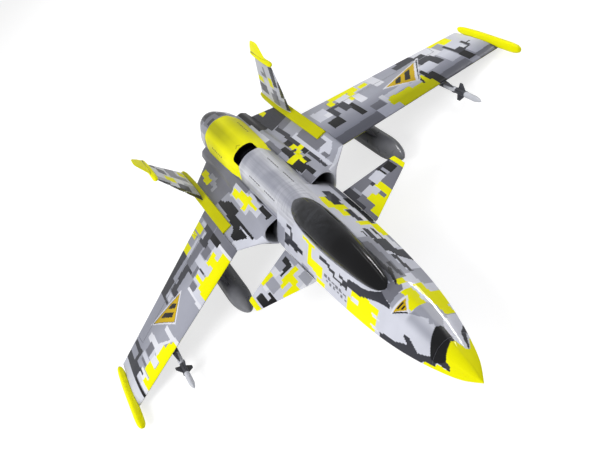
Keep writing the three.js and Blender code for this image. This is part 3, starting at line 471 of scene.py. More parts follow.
def signed_volume(points, faces):
    """Positive, in an arbitrary unit, where the faces turn outwards."""
    arms = np.asarray(points, float)
    arms = arms - arms.mean(0)
    total = 0.0
    for face in faces:
        for k in range(1, len(face) - 1):
            total += np.dot(arms[face[0]], np.cross(arms[face[k]], arms[face[k + 1]]))
    return total


def grid_faces(rows, count):
    """Quads of a tube of so many rings, each of count points."""
    row = np.arange(rows - 1)[:, None] * count
    i = np.arange(count)[None, :]
    j = (i + 1) % count
    quads = [row + i, row + j, row + count + j, row + count + i]
    return np.stack(quads, -1).reshape(-1, 4)


def loft(name, rings, paint=FOAM, caps=(FOAM, FOAM), materials=None):
    """Closed loft through rings (row, point, xyz).

    paint is a slot, or a function of x, y, z and normal that gives a slot per wall face.
    """
    rings = np.asarray(rings, float)
    rows, count, _ = rings.shape
    points = rings.reshape(-1, 3)
    quads = grid_faces(rows, count)
    corners = points[quads]
    centre = corners.mean(1)
    normal = np.cross(corners[:, 2] - corners[:, 0], corners[:, 3] - corners[:, 1])
    middle = rings.mean(1)
    axis = np.repeat(middle[:-1], count, 0) * 0.5 + np.repeat(middle[1:], count, 0) * 0.5
    first, last = list(range(count)), list(range((rows - 1) * count, rows * count))
    if np.sum(np.einsum("ij,ij->i", normal, centre - axis)) < 0:      # the tube is inside out
        quads = quads[:, ::-1]
        normal = -normal
        last.reverse()
    else:
        first.reverse()
    length = np.linalg.norm(normal, axis=1)
    length[length == 0] = 1
    normal = normal / length[:, None]
    tints = np.zeros(len(quads) + 2, np.int32)
    tints[:-2] = paint(*centre.T, normal) if callable(paint) else paint
    tints[-2:] = caps
    return mesh_object(name, points, quads.tolist() + [first, last], tints, materials)


def prism(name, outline, start, end, place, tint=FOAM, materials=None):
    """Prism over the outline from start to end; place(u, v, a) gives the point."""
    n = len(outline)
    points = [place(u, v, a) for a in (start, end) for u, v in outline]
    faces = [(i, (i + 1) % n, n + (i + 1) % n, n + i) for i in range(n)]
    faces += [tuple(reversed(range(n))), tuple(range(n, 2 * n))]
    if signed_volume(points, faces) < 0:
        faces = [tuple(reversed(face)) for face in faces]
    return mesh_object(name, points, faces, [tint] * len(faces), materials)


def side_cutter(outline):
    """A (y, z) outline run across the whole width."""
    return prism("cut", outline, -90, 90, lambda u, v, a: (a, u, v))


def plan_cutter(outline, low, high, tint=FOAM):
    """An (x, y) outline run from low to high."""
    return prism("cut", outline, low, high, lambda u, v, a: (u, v, a), tint)


def rod_cutter(start, end, radius, count=20):
    start, end = np.array(start, float), np.array(end, float)
    axis = (end - start) / np.linalg.norm(end - start)
    level = np.cross(axis, (0, 0, 1.0))
    level /= np.linalg.norm(level)
    upright = np.cross(axis, level)
    t = circle(count)[:, None]
    ring = radius * (np.cos(t) * level + np.sin(t) * upright)
    return loft("cut", np.array([start + ring, end + ring]))


def lathe(name, x, z, rows, step, count=56, paint=0, materials=None):
    """Turned solid about a line along Y; rows are (y, radius)."""
    ys, radii = np.array(rows, float).T
    fine = merged(np.arange(ys[0], ys[-1], step), ys)
    radius = np.interp(fine, ys, np.maximum(radii, 0.05))[:, None]
    t = circle(count)
    rings = np.stack([x + radius * np.cos(t), np.repeat(fine[:, None], count, 1),
                      z + radius * np.sin(t)], -1)
    return loft(name, rings, paint, (0, 0), materials)


def carve(body, cutter, operation="DIFFERENCE"):
    """Applies a boolean and drops the cutter; the exact solver steps in where the first fails."""
    for solver in ("MANIFOLD", "EXACT"):
        modifier = body.modifiers.new("cut", "BOOLEAN")
        modifier.operation = operation
        modifier.object = cutter
        modifier.solver = solver
        bpy.context.view_layer.update()
        graph = bpy.context.evaluated_depsgraph_get()
        result = bpy.data.meshes.new_from_object(
            body.evaluated_get(graph), preserve_all_data_layers=True, depsgraph=graph)
        body.modifiers.clear()
        before = body.data
        changed = operation != "DIFFERENCE" or len(result.polygons) != len(before.polygons)
        if len(result.polygons) > 3 and changed:
            body.data = result
            bpy.data.meshes.remove(before)
            break
        bpy.data.meshes.remove(result)
    cutter_mesh = cutter.data
    bpy.data.objects.remove(cutter)
    bpy.data.meshes.remove(cutter_mesh)


def painted_shade(body, shading):
    """Stores painted shade at each vertex; shading takes x, y, z in mm above the origin."""
    place = np.zeros(len(body.data.vertices) * 3)
    body.data.vertices.foreach_get("co", place)
    place = place.reshape(-1, 3) * 1000
    value = np.clip(shading(*place.T), 0, 1).astype(np.float32)
    body.data.attributes.new("painted_shade", "FLOAT", "POINT").data.foreach_set("value", value)


def piece(body, carrier, node, angle=38):
    """Smooths a finished piece, keeps only the slots it shows and hands it to the frame."""
    mesh = body.data
    mesh.validate()
    tints = np.zeros(len(mesh.polygons), np.int32)
    mesh.polygons.foreach_get("material_index", tints)
    used, tints = np.unique(tints, return_inverse=True)
    materials = [mesh.materials[i] for i in used.tolist()]
    mesh.materials.clear()
    for material in materials:
        mesh.materials.append(material)
    mesh.polygons.foreach_set("material_index", tints.astype(np.int32))
    mesh.polygons.foreach_set("use_smooth", np.ones(len(mesh.polygons), bool))
    mesh.set_sharp_from_angle(angle=math.radians(angle))
    mesh.update()
    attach(body, carrier)
    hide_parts(node)


# ------------------------------------------------------------------ camouflage
def layers(text):
    """Reads entries of a colour letter and x0 x1 y0 y1, or the x y pairs of an outline."""
    out = []
    for entry in text.split(","):
        letter, *numbers = entry.split()
        numbers = [float(n) for n in numbers]
        shape = numbers if len(numbers) == 4 else list(zip(numbers[::2], numbers[1::2]))
        out.append((LETTERS.index(letter), shape))
    return out


def in_outline(x, y, outline):
    inside = np.zeros(len(x), bool)
    for (x0, y0), (x1, y1) in zip(outline, outline[1:] + outline[:1]):
        if y0 != y1:
            hit = (y0 > y) != (y1 > y)
            inside ^= hit & (x < (x1 - x0) * (y - y0) / (y1 - y0) + x0)
    return inside


def blocks(x, y, painted_layers, base):
    """Later layers cover earlier ones."""
    out = np.full(len(x), base, np.int32)
    for tint, shape in painted_layers:
        if isinstance(shape[0], tuple):
            mask = in_outline(x, y, shape)
        else:
            x0, x1, y0, y1 = shape
            mask = (x >= x0) & (x < x1) & (y >= y0) & (y < y1)
        out[mask] = tint
    return out


def hashed(ix, iy, seed):
    """A repeatable value from 0 to 1 for each grid point."""
    h = ix.astype(np.int64) * 374761393 + iy.astype(np.int64) * 668265263 + seed * 1274126177
    h = h & 0xFFFFFFFF
    h = ((h ^ (h >> 13)) * 1274126177) & 0xFFFFFFFF
    h = ((h ^ (h >> 16)) * 2246822519) & 0xFFFFFFFF
    return (h & 0xFFFFFF) / 16777216.0


def value_noise(x, y, seed):
    ix, iy = np.floor(x), np.floor(y)
    fx, fy = x - ix, y - iy
    fx, fy = fx * fx * (3 - 2 * fx), fy * fy * (3 - 2 * fy)
    near = hashed(ix, iy, seed) * (1 - fx) + hashed(ix + 1, iy, seed) * fx
    far = hashed(ix, iy + 1, seed) * (1 - fx) + hashed(ix + 1, iy + 1, seed) * fx
    return near * (1 - fy) + far * fy


def digital(x, y, seed, yellow=0.74):
    """Block camouflage in 9 by 12 mm cells for the surfaces that no table covers."""
    gx, gy = np.floor(x / 9.0) * 9.0, np.floor(y / 12.0) * 12.0
    shade = (value_noise(gx / 42, gy / 58, seed) * 0.8
             + value_noise(gx / 17, gy / 23, seed + 7) * 0.2)
    accent = (value_noise(gx / 46 + 9, gy / 66, seed + 3) * 0.8
              + value_noise(gx / 15, gy / 21, seed + 5) * 0.2)
    out = np.full(len(x), MID, np.int32)
    out[shade > 0.55] = GREY
    out[shade > 0.63] = DARK
    out[shade < 0.42] = LIGHT
    out[accent > yellow - 0.05] = WHITE
    out[accent > yellow] = YELLOW
    return out


def bars(apex, b, c, edge=0.16):
    """Two dark bars across a triangle, parallel to the side opposite its apex."""
    apex, b, c = (np.array(corner, float) for corner in (apex, b, c))
    out = []
    for t0, t1 in ((0.34, 0.52), (0.66, 0.84)):
        quad = []
        for t, share in ((t0, edge), (t0, 1 - edge), (t1, 1 - edge), (t1, edge)):
            p0, p1 = apex + (b - apex) * t, apex + (c - apex) * t
            quad.append(tuple((p0 + (p1 - p0) * share).tolist()))
        out.append((BLACK, quad))
    return out


def top_paint(table, base, seed):
    """The table above, generic blocks below."""
    def paint(x, y, z, normal):
        low = digital(x + 500, y + 900, seed)
        return np.where(normal[:, 2] > -0.15, blocks(x, y, table, base), low)
    return paint


# All tables are seen in plan, except the fins', which hold y and z.
WING_CAMO = {"right": layers("""
L -530 -503 -110 70, W -494 -470 -105 -36, L -494 -484 -66 -36, Y -484 -376 -105 -80,
Y -484 -474 -80 -66, Y -469 -447 -80 -48, Y -430 -400 -80 -60, Y -400 -386 -80 -71,
Y -424 -412 -60 -56, L -460 -448 -48 -3, G -466 -459 -46 -12, W -447 -430 -78 -50,
L -447 -424 -50 -37,
W -430 -60 -400 -60 -386 -72 -376 -80 -376 -105 -367 -105 -370 -72 -380 -70 -410 -40 -425 -46,
W -425 -411 -52 0, W -427 -413 -8 15, W -381 -371 -74 -28, K -502 -495 -110 -34,
D -502 -478 -36 0, D -502 -456 0 15, D -502 -484 15 70, D -469 -457 15 62, M -484 -469 22 70,
D -480 -476 -54 -28, G -447 -424 -36 -8, W -291 -281 -100 -70, W -286 -280 -70 -18,
L -281 -262 -100 -45, G -280 -264 -45 -18, Y -270 -176 -100 -66, Y -264 -236 -66 -52,
Y -257 -248 -52 -18, Y -236 -176 -66 -57, L -262 -257 -52 -14, L -248 -240 -52 -14,
L -236 -214 -57 -14, L -237 -219 -14 22, L -199 -176 -57 -18, Y -213 -198 -57 -42,
Y -218 -190 -42 -25, G -262 -237 -14 0, G -216 -192 -17 16, D -240 -235 -40 -16,
W -176 -169 -100 -30, G -169 -140 -100 18, K -180 -165 -30 20, D -201 -189 12 20,
D -203 -165 19 48, D -203 -195 48 62, D -179 -165 48 72, L -194 -180 48 80,
G -165 -140 20 130, L -176 -168 72 100, D -324 -310 8 26, D -263 -256 2 24,
D -324 -256 22 50, D -350 -343 22 56, D -350 -304 55 96, D -305 -248 72 106,
G -256 -203 24 56, L -340 -326 22 52, M -304 -295 40 60, M -247 -178 60 130,
L -247 -200 60 76, Y -247 -229 76 112, Y -212 -199 86 120, Y -196 -178 74 122"""),
             # in the left wing's table the first grey block, along the root of the leading edge,
             # is partly camouflage and partly painted shade
             "left": layers("""
G 150 253 -100 -60, G 253 278 -58 -30, L 253 300 -100 -58, W 280 290 -58 -18,
L 290 345 -44 -24, L 337 372 -62 -42, Y 297 384 -105 -70, Y 283 380 -74 -60,
Y 285 338 -62 -47, Y 292 304 -47 -41, Y 366 378 -70 -36, K 382 398 -105 -70,
K 378 398 -70 -46, K 380 388 -46 -19, K 362 -68 366 -68 372 -38 378 -30 372 -32 366 -45,
G 398 462 -105 -72, G 480 530 -105 -78, L 440 464 -58 8, L 388 420 -40 0, W 430 456 6 80,
W 410 446 36 90, L 472 530 -20 70, W 484 494 -36 -20, L 484 530 -78 -42, L 500 530 -42 -20,
K 464 480 -84 -45, D 465 485 -45 -21, D 465 472 -21 23, D 485 498 -42 -36, D 495 501 -36 -2,
D 501 510 -24 -19, D 420 437 -35 2, D 400 434 0 22, D 405 429 20 54, K 168 196 -30 8,
D 190 203 8 66, D 203 222 48 68, K 226 239 -43 28, D 215 232 8 62, D 181 192 60 66,
L 160 190 26 90, W 178 190 24 50, W 250 267 3 60, W 232 246 30 70, W 303 323 28 100,
L 262 303 62 100, W 222 250 62 100, Y 243 253 36 62, Y 250 262 58 80, Y 203 216 66 96,
Y 214 264 88 116, Y 254 276 70 108, Y 280 298 66 86, M 323 364 48 100, D 363 411 45 71,
D 378 409 71 90, M 170 203 84 130, Y 474 496 26 64, Y 453 474 52 72""")}
WING_DECAL = {
    "right": layers("W -352 -54 -410 39 -402 36 -299 2, K -352 -47 -402 31 -306 1,"
                    "A -352 -45 -399 28 -308 0") + bars((-308, 0), (-352, -45), (-399, 28)),
    "left": layers("W 302 2 363 -50 367 -48 416 44 412 46 398 36, A 310 1 359 -42 399 33,"
                   "K 364 -46 367 -44 411 39 407 39") + bars((310, 1), (359, -42), (399, 33))}
CANARD_CAMO = {"right": layers("""
W -112 -86 -320 -290, M -94 -70 -300 -266, Y -138 -107 -300 -271, Y -113 -100 -277 -250,
Y -122 -84 -252 -236, Y -131 -112 -258 -246, K -180 -152 -285 -252, K -181 -165 -252 -220,
D -181 -168 -222 -217, K -158 -152 -262 -236, M -150 -130 -250 -206, W -158 -150 -228 -208,
K -118 -89 -229 -222, K -108 -88 -223 -210, K -97 -86 -212 -190, M -115 -97 -214 -170,
M -97 -70 -190 -170, Y -156 -128 -206 -190, W -128 -115 -216 -190, M -86 -70 -236 -190"""),
               "left": layers("""
Y 85 138 -310 -278, Y 97 119 -280 -245, Y 126 139 -280 -232, L 100 126 -258 -220,
Y 97 113 -262 -245, D 70 85 -264 -190, G 85 93 -262 -225, D 70 93 -225 -170,
M 93 100 -226 -190, G 147 190 -275 -240, D 122 129 -231 -213, G 101 129 -218 -205,
L 130 153 -236 -200, K 164 180 -240 -200, D 152 184 -206 -190, K 154 158 -232 -200,
M 158 164 -236 -208""")}
NOSE_CAMO = layers("""
M -4 -552 12 -583 6 -590 10 -594 20 -586 40 -600 47 -588 28 -550 0 -555,
M 17 -612 22 -600 30 -590 24 -580 14 -586 10 -600, L 35 -620 48 -590 34 -588 28 -606,
G -13 -517 5 -512 18 -510 22 -500 16 -486 8 -484 0 -487 -8 -484 -12 -500,
M -16 -522 12 -522 16 -512 -14 -514,
D -22 -660 -16 -658 -16 -649 -26 -623 -36 -598 -28 -574 -32 -560 -38 -575 -48 -548 -50 -530
  -55 -511 -75 -515 -75 -560 -60 -600 -45 -606 -38 -612 -32 -634 -26 -634,
Y -100 -720 100 -720 100 -640 31 -640 29 -645 22 -657 18 -655 15 -636 10 -634 -16 -649
  -16 -657 -22 -660 -27 -636 -32 -634 -38 -612 -60 -612 -100 -612,
K -16 -649 10 -634.5 15 -636 18 -612 18 -604 10 -600 -2 -607 -28 -623 -28 -634 -20 -645,
D 20 -657 24 -652 34 -630 60 -640 50 -600 40 -614 29 -628, Y 30 -652 60 -652 60 -634 36 -634,
Y 35 48 -587 -545, Y 42 70 -566 -532, Y 2 27 -553 -535, Y 12 29 -536 -513,
Y 34 45 -546 -507, Y 18 31 -498 -482, M 47 70 -512 -500, M 46 80 -500 -470,
M 66 80 -470 -440, D 47 52 -475 -420, D 66 -446 80 -446 80 -408 50 -408 54 -428,
Y -80 -33 -499 -430, Y -80 -52 -430 -414, Y -48 -40 -430 -423, W -52 -46 -446 -425,
W -58 -55 -508 -486, W -45 -42 -506 -484,
D -19 -519 -14 -516 -12 -500 -8 -486 -14 -478 -22 -462 -26 -446 -28 -430 -32 -405 -41 -405
  -40 -430 -37 -450 -30 -471 -25 -487 -21 -505,
D -47 -38 -408 -391, D -48 -45 -392 -362, D -45 -40 -366 -346, D -42 -37 -348 -310,
D -40 -36 -392 -380, Y -90 -68 -338 -306, Y -66 -51 -326 -290, Y -64 -51 -292 -267,
Y -58 -34 -282 -268, Y -38 -28 -292 -244, M -90 -71 -296 -246, G -90 -76 -290 -250,
D -61 -56 -247 -226, D -65 -55 -226 -200, D -64 -53 -202 -167, D -69 -64 -187 -156,
D -54 -45 -202 -192, D -45 -40 -197 -174, D -62 -58 -160 -146, M -90 -50 -166 -128,
D 46 61 -408 -368, D 42 45 -367 -337, D 47 53 -370 -328, D 58 61 -368 -328,
W 61 68 -400 -330, M 68 80 -400 -356, Y 64 90 -357 -314, Y 50 68 -316 -300,
Y 43 52 -277 -246, Y 42 60 -249 -228, Y 35 48 -240 -192, D 53 61 -299 -250,
D 46 59 -228 -190, D 50 63 -211 -164, K 68 90 -302 -200, D 66 72 -312 -302,
W 62 67 -300 -240, G 70 90 -200 -128, L 62 70 -200 -128, M 24 46 -478 -356,
G 12 38 -486 -372, D 20 27 -470 -392, D 31 36 -480 -440,
K 15 -496 20 -491 30 -458 29 -450 24 -458""")
# two rows of six small dashes on the right side
NOSE_CAMO += [(GREY, (-62, -59, -412 + 13 * i, -405 + 13 * i)) for i in range(6)]
NOSE_CAMO += [(GREY, (-57, -54, -408 + 13 * i, -398 + 13 * i)) for i in range(6)]
NOSE_CAMO += layers("W -2 -552 -23 -524 16 -525, A -2 -546 -19 -527 11 -527,"
                    "K -21 -528 -4 -551 -2.5 -549 -19 -527")
NOSE_CAMO += bars((-2, -546), (-19, -527), (11, -527), edge=0.2)
ROOT_CAMO = {"right": layers("""
L -200 -92 -140 -60, M -108 -92 -140 -60, L -76 -53 -81 -30, L -90 -50 -32 6, L -86 -56 4 86,
K -65 -60 -113 -105, K -61 -50 -114 -62, Y -69 -62 -58 -16, Y -88 -56 -17 4, Y -77 -60 4 46,
Y -83 -68 44 80,
K -142 -61 -119 -88 -117 -88 -117 -48 -113 -44 -113 -105 -107 -105 -107 0 -95 2 -94 52
  -100 76 -107 76 -107 106 -118 106 -118 40 -122 20 -125 -20 -128 -32 -142 -42,
G -58 -40 18 120, G -200 -84 100 360, G -84 -40 86 360, M -113 -95 158 175,
M -104 -92 175 200, Y -112 -96 204 240, Y -106 -90 236 270, M -96 -84 190 232"""),
             "left": layers("""
G 46 63 -140 -84, K 63 73 -114 -75, K 50 70 -82 -32, K 70 84 -66 -35, K 86 98 -29 0,
D 91 97 -112 -30, L 98 107 -112 72,
L 117 -86 127 -77 142 -56 142 -20 134 -20 133 -42 118 -46 107 -56 98 -60 98 -72 108 -64
  117 -68,
G 107 133 -46 62, G 106 117 -90 -66, L 98 111 60 72, Y 48 80 -33 -8, Y 69 76 -62 -30,
Y 74 85 -12 10, Y 84 98 -3 21, Y 76 89 20 43, K 58 72 -6 51, K 72 81 5 19, K 75 88 43 76,
D 88 98 20 160, G 40 60 40 120, M 98 128 72 130, G 98 140 130 165, D 80 140 165 360,
M 60 80 90 190, K 57 80 190 360, L 40 61 120 245, K 62 66 196 240, Y 94 106 252 284""")}
TAIL_CAMO = layers("""
G -18 60 330 384, L -60 -34 340 420, L 38 60 352 400, D -12 10 338 356, D 22 40 346 384,
D -12 26 384 440, G -22 -12 392 440, K -4 14 392 424, G 26 34 400 440""")
# the table of one side's inner fin face also serves the other side's outer face
FIN_CAMO = {"right": layers("""
D 140 330 30 34, M 150 215 34 62, D 165 200 52 78, W 205 235 60 96, G 235 262 40 84,
Y 196 226 80 104, D 236 268 92 112, Y 268 300 36 52, G 262 300 60 86, M 180 200 96 128,
D 262 290 112 128, L 206 236 108 128, K 140 162 34 66, K 160 172 66 100,
K 172 182 100 128"""),
            "left": layers("""
M 150 190 30 52, G 190 230 34 70, W 215 252 58 84, D 252 300 44 66, Y 200 222 74 96,
G 228 262 90 116, D 176 196 80 128, Y 262 300 70 84, L 240 300 100 128, D 140 158 34 60,
D 156 170 60 96""")}

# ------------------------------------------------------------------ fuselage core
# y, top z, shoulder x, shoulder z, chine half width, chine z, keel z, side bulge
CORE = np.array([
    [-709, -9.6, 0.4, -9.8, 0.7, -10, -10.6, 0],
    [-700, -5.5, 3.2, -7, 6.5, -9.8, -14, 0.3],
    [-680, 0.8, 8, -1.8, 18.5, -9, -18.5, 0.6],
    [-648, 9.5, 12.5, 6, 30.5, -7.5, -22.5, 1],
    [-600, 19, 18, 14.5, 44, -6, -27, 1.5],
    [-550, 27.5, 22.5, 21.5, 54.5, -4.5, -31, 1.5],
    [-492, 36, 27, 28, 62.5, -3, -35, 1.2],
    [-430, 44, 32, 32.5, 67.8, -2, -38, 1],
    [-350, 52, 37, 36, 72.5, -1, -41, 0.6],
    [-250, 59, 42, 38, 76.5, 0, -44, 0],
    [-168, 62.5, 45, 38, 77.5, -0.5, -46, 0],
    [-130, 63.5, 46.5, 37.5, 77, -1, -47, 0.3],
    [-60, 64, 48, 36.5, 66, 3, -48, 1.5],
    [20, 64, 48.5, 36, 56, 8, -48, 3],
    [250, 64, 48.5, 36, 56, 8, -48, 3],
    [330, 60.5, 47, 34.5, 55.5, 8, -47, 3],
    [384, 54, 42, 31, 50, 8.5, -42, 2.8],
    [415, 48.5, 35.5, 27, 42.5, 9, -34.5, 2.4],
    [434, 43.5, 30, 24, 36.5, 9, -28.5, 2]])


def core_half(y):
    """Nine points of the left half profile, top to keel, at each station: (row, point, xz)."""
    top, shoulder_x, shoulder_z, chine_x, chine_z, keel, bulge = monotone_cubic(
        CORE[:, 0], CORE[:, 1:], np.atleast_1d(y)).T
    nx, nz = shoulder_z - chine_z, chine_x - shoulder_x
    length = np.maximum(np.hypot(nx, nz), 1e-6)
    profile = [
        (0 * top, top),
        (0.38 * shoulder_x, top - 0.12 * (top - shoulder_z)),
        (0.72 * shoulder_x, top - 0.42 * (top - shoulder_z)),
        (shoulder_x, shoulder_z),
        ((shoulder_x + chine_x) / 2 + bulge * nx / length,
         (shoulder_z + chine_z) / 2 + bulge * nz / length),
        (chine_x, chine_z),
        (0.88 * chine_x, chine_z - 0.45 * (chine_z - keel)),
        (0.5 * chine_x, chine_z - 0.87 * (chine_z - keel)),
        (0 * top, keel)]
    return np.stack([np.stack(point, -1) for point in profile], 1)


def core_rings(ys, inset=0.0, upper=9, lower=6):
    """Full sections; upper and lower are the steps per span above and below the chine."""
    left = np.moveaxis(core_half(ys), 1, 0)
    right = left * (-1, 1)
    top = catmull_rom(left[:6], upper, before=right[1])
    bottom = catmull_rom(left[5:], lower, before=2 * left[5] - left[6], after=right[7])
    half = np.concatenate([top, bottom[1:]])
    section = np.moveaxis(np.concatenate([half, (half[1:-1] * (-1, 1))[::-1]]), 0, 1)
    middle = (section[:, :1, 1] + section[:, len(half) - 1: len(half), 1]) / 2
    rise = section[..., 1] - middle
    radius = np.hypot(section[..., 0], rise)
    shrink = np.maximum(0.02, 1 - inset / np.maximum(radius, 1e-6))
    x, z = section[..., 0] * shrink, middle + rise * shrink
    return np.stack([x, np.repeat(np.asarray(ys, float)[:, None], x.shape[1], 1), z], -1)


def top_z(y, x):
    """Height of the upper body surface over (x, y)."""
    ring = core_rings([y])[0]
    widest = int(np.argmax(ring[:, 0]))
    return float(np.interp(abs(x), ring[: widest + 1, 0], ring[: widest + 1, 2]))


def chine_height(y):
    return np.interp(y, CORE[:, 0], CORE[:, 5])


def chine_width(y):
    return np.interp(y, CORE[:, 0], CORE[:, 4])


def core_solid(name, y0, y1, inset=0.0, step=2.0, upper=9, lower=6, paint=FOAM,
               caps=(FOAM, FOAM)):
    return loft(name, core_rings(stations(y0, y1, step), inset, upper, lower), paint, caps)


def hollow(body, y0, y1, wall):
    carve(body, core_solid("cut", y0, y1, wall, step=9.0, upper=4, lower=3))


def body_paint(x, y, z, normal):
    chine = chine_height(y)
    upper = z > chine - 0.6
    tints = blocks(x, y, NOSE_CAMO, LIGHT)
    # rear body sides follow the nacelles
    sides = np.where(x < 0, blocks(x, y, ROOT_CAMO["right"], MID),
                     blocks(x, y, ROOT_CAMO["left"], MID))
    tints = np.where((y > BODY_SPLIT) & upper, sides, tints)
    low = digital(np.sign(x) * (chine_width(y) + (chine - z)) + 700, y + 800, 11, yellow=0.80)
    low[y < -600] = YELLOW
    low[(y > -612) & (y < -596)] = DARK
    tints = np.where(upper, tints, low)
    tints = np.where((y > 334) & (z > 12), blocks(x, y, TAIL_CAMO, MID), tints)
    return tints.astype(np.int32)


# ------------------------------------------------------------------ canopy outline
# y, half width
CANOPY = np.array([
    [-488, 2], [-481, 9.5], [-466, 15.5], [-440, 20.5], [-400, 25], [-350, 29], [-300, 31],
    [-250, 30.5], [-210, 27], [-185, 20], [-171, 10], [-166, 2]], float)
# y, height of the crest above the body
RISE = np.array([
    [-488, 0.5], [-466, 7], [-440, 12], [-400, 17], [-350, 20], [-300, 19.5], [-250, 16],
    [-210, 10.5], [-185, 5.5], [-166, 0.4]], float)


def canopy_width(y):
    """Half width; the rear blends to an interpolation of its square, which closes it round."""
    y = np.atleast_1d(y)
    raw = monotone_cubic(CANOPY[:, 0], CANOPY[:, 1], y)
    square = monotone_cubic(CANOPY[:, 0], CANOPY[:, 1] ** 2, y)
    return lerp(raw, np.sqrt(np.maximum(square, 0.3)), np.clip((y + 300) / 110, 0.0, 1))


def canopy_hole(gap):
    ys = np.concatenate([np.linspace(CANOPY_FRONT, -470, 12), np.linspace(-466, -190, 60),
                         np.linspace(-186, CANOPY_REAR, 12)])
    width = canopy_width(ys) + gap
    ys[0] -= gap
    ys[-1] += gap
    outline = np.concatenate([np.stack([width, ys], -1), np.stack([-width, ys], -1)[::-1]])
    return plan_cutter(outline.tolist(), 5, 130)


# ------------------------------------------------------------------ nose and front fuselage
SHAFT_HOLE = 3.1                               # radius


def nose_cone():
    body = core_solid("nose_cone_skin", NOSE_Y, NOSE_SPLIT - JOINT, step=1.5, paint=body_paint)
    hollow(body, -662, NOSE_SPLIT + 5, wall=6)
    piece(body, "airframe", "nose_cone")


def front_paint(x, y, z, normal):
    """The silver of the spine runs forward as far as the rear of the canopy."""
    tints = body_paint(x, y, z, normal)
    top = z > chine_height(y)
    open_paint = np.isin(tints, (LIGHT, YELLOW, MID))
    tints[(y > -205) & (np.abs(x) < 37) & top & open_paint] = SILVER
    rim = (y > CANOPY_FRONT - 2) & (y < CANOPY_REAR + 2) & (np.abs(x) < canopy_width(y) + 3.2)
    tints[rim & top & (tints == YELLOW)] = LIGHT
    return tints


def front_shading(x, y, z):
    """Soft painted shade beside the left edge of the canopy and down the middle of the nose."""
    width = canopy_width(np.clip(y, CANOPY_FRONT, CANOPY_REAR))
    beside = (np.clip(1 - (x - width) / 26, 0, 1) * (x > 0)
              * np.clip((y + 500) / 20, 0, 1) * np.clip((-330 - y) / 70, 0, 1))
    middle = 0.62 * np.exp(-(((x + 5) / 9.0) ** 2)) * (x < 6) * np.clip((-553 - y) / 6, 0, 1)
    return np.where(z > chine_height(y) + LIFT, np.maximum(beside, middle), 0.0)


def front_fuselage():
    body = core_solid("fuselage_front_skin", NOSE_SPLIT + JOINT, BODY_SPLIT - JOINT, step=1.7,
                      paint=front_paint, caps=(LIGHT, LIGHT))
    hollow(body, NOSE_SPLIT - 4, BODY_SPLIT + 4, wall=6)
    carve(body, canopy_hole(gap=0.5))
    t = circle(24)
    carve(body, loft("cut", [
        np.stack([np.full(24, x), CANARD_SHAFT_Y + SHAFT_HOLE * np.cos(t),
                  SHAFT_HOLE * np.sin(t)], -1) for x in (-100.0, 100.0)]))
    painted_shade(body, front_shading)
    piece(body, "airframe", "fuselage_front")


nose_cone()
front_fuselage()

# ------------------------------------------------------------------ side ducts
DUCT_END = 130
# x, z round the mouth and round the inner end, point for point
DUCT_MOUTH = np.array([
    [47, 35], [60, 36.6], [73, 36], [82, 32], [88, 24], [89.6, 14], [86, 4.5], [78, -4.3],
    [71, 3.5], [64, 12], [58, 20], [52, 28]], float)
DUCT_INNER = np.array([
    [1.2, 42.5], [10, 41.5], [19, 37.5], [27, 30.5], [33, 20], [35.2, 8], [33, -4], [25, -17],
    [12, -25], [1.2, -27], [1.2, -5], [1.2, 20]], float)


def duct_ring(y, offset, steps=4):
    t = min(1, max(0, (y - BODY_SPLIT) / (DUCT_END - BODY_SPLIT)))
    corners = lerp(DUCT_MOUTH, DUCT_INNER, t * t * (3 - 2 * t))
    loop = np.concatenate([corners, corners[:1]])
    curve = catmull_rom(loop, steps, before=corners[-1], after=corners[1])[:-1]
    straight = np.array([lerp(loop[i // steps], loop[i // steps + 1], (i % steps) / steps)
                         for i in range(len(curve))])
    curve = lerp(curve, straight, 0.35)
    tangent = np.roll(curve, -1, 0) - np.roll(curve, 1, 0)
    tangent /= np.linalg.norm(tangent, axis=1)[:, None]
    curve = curve + np.stack([-tangent[:, 1], tangent[:, 0]], -1) * offset
    return np.stack([curve[:, 0], np.full(len(curve), y), curve[:, 1]], -1)


def cut_duct(body, side):
    rings = np.array([duct_ring(y, 1.5) for y in stations(-135, 131, 12)])
    carve(body, loft("cut", rings * (side, 1, 1)))


# ------------------------------------------------------------------ rear fuselage and covers
FAN_Z = 8.0
# y, z: the lower edge of the hatch from front to rear, then its two top corners
HATCH = [(HATCH_FRONT, 39.5), (130, 34.5), (174, 28), (235, 19), (278, 19.5), (312, 30),
         (HATCH_REAR, 45), (HATCH_REAR, 95), (HATCH_FRONT, 95)]
HATCH_OPENING = [(91.7, 39.2), (130, 34.2), (174, 27.7), (235, 18.7), (278.2, 19.2),
                 (312.3, 29.8), (334.3, 44.9), (334.3, 95), (91.7, 95)]
# x, y of the slot in the hatch
SLOT = [(-28.6, 85), (-28.6, 121), (-27.8, 126), (-25.4, 130), (-21.6, 132.6), (-16, 133.8),
        (0, 134.4), (16, 133.8), (21.6, 132.6), (25.4, 130), (27.8, 126), (28.6, 121),
        (28.6, 85)]
SPINE_OPENING = [(-132, 43.7), (96.4, 40.5), (96.4, 95), (-132, 95)]              # y, z
SPINE_LIMITS = [(BODY_SPLIT - 1, 44), (SPINE_REAR + 1, 41), (SPINE_REAR + 1, 95),
                (BODY_SPLIT - 1, 95)]                                              # y, z
# y, radius of the bore through the tail cone
TAIL_BORE = [[200, 0.1], [200.5, 39], [230, 38.4], [330, 35.4], [445, 32.8], [445.5, 0.1]]


def rounded_hatch(outline):
    return catmull_rom(outline[:7], 6).tolist() + outline[7:]


def rear_fuselage():
    body = core_solid("fuselage_rear_skin", BODY_SPLIT + JOINT, TAIL_SPLIT - JOINT,
                      paint=body_paint)
    hollow(body, BODY_SPLIT - 4, TAIL_SPLIT + 4, wall=6)
    for side, _ in SIDES:
        cut_duct(body, side)
    carve(body, side_cutter(rounded_hatch(HATCH_OPENING)))
    carve(body, side_cutter(SPINE_OPENING))
    piece(body, "airframe", "fuselage_rear")


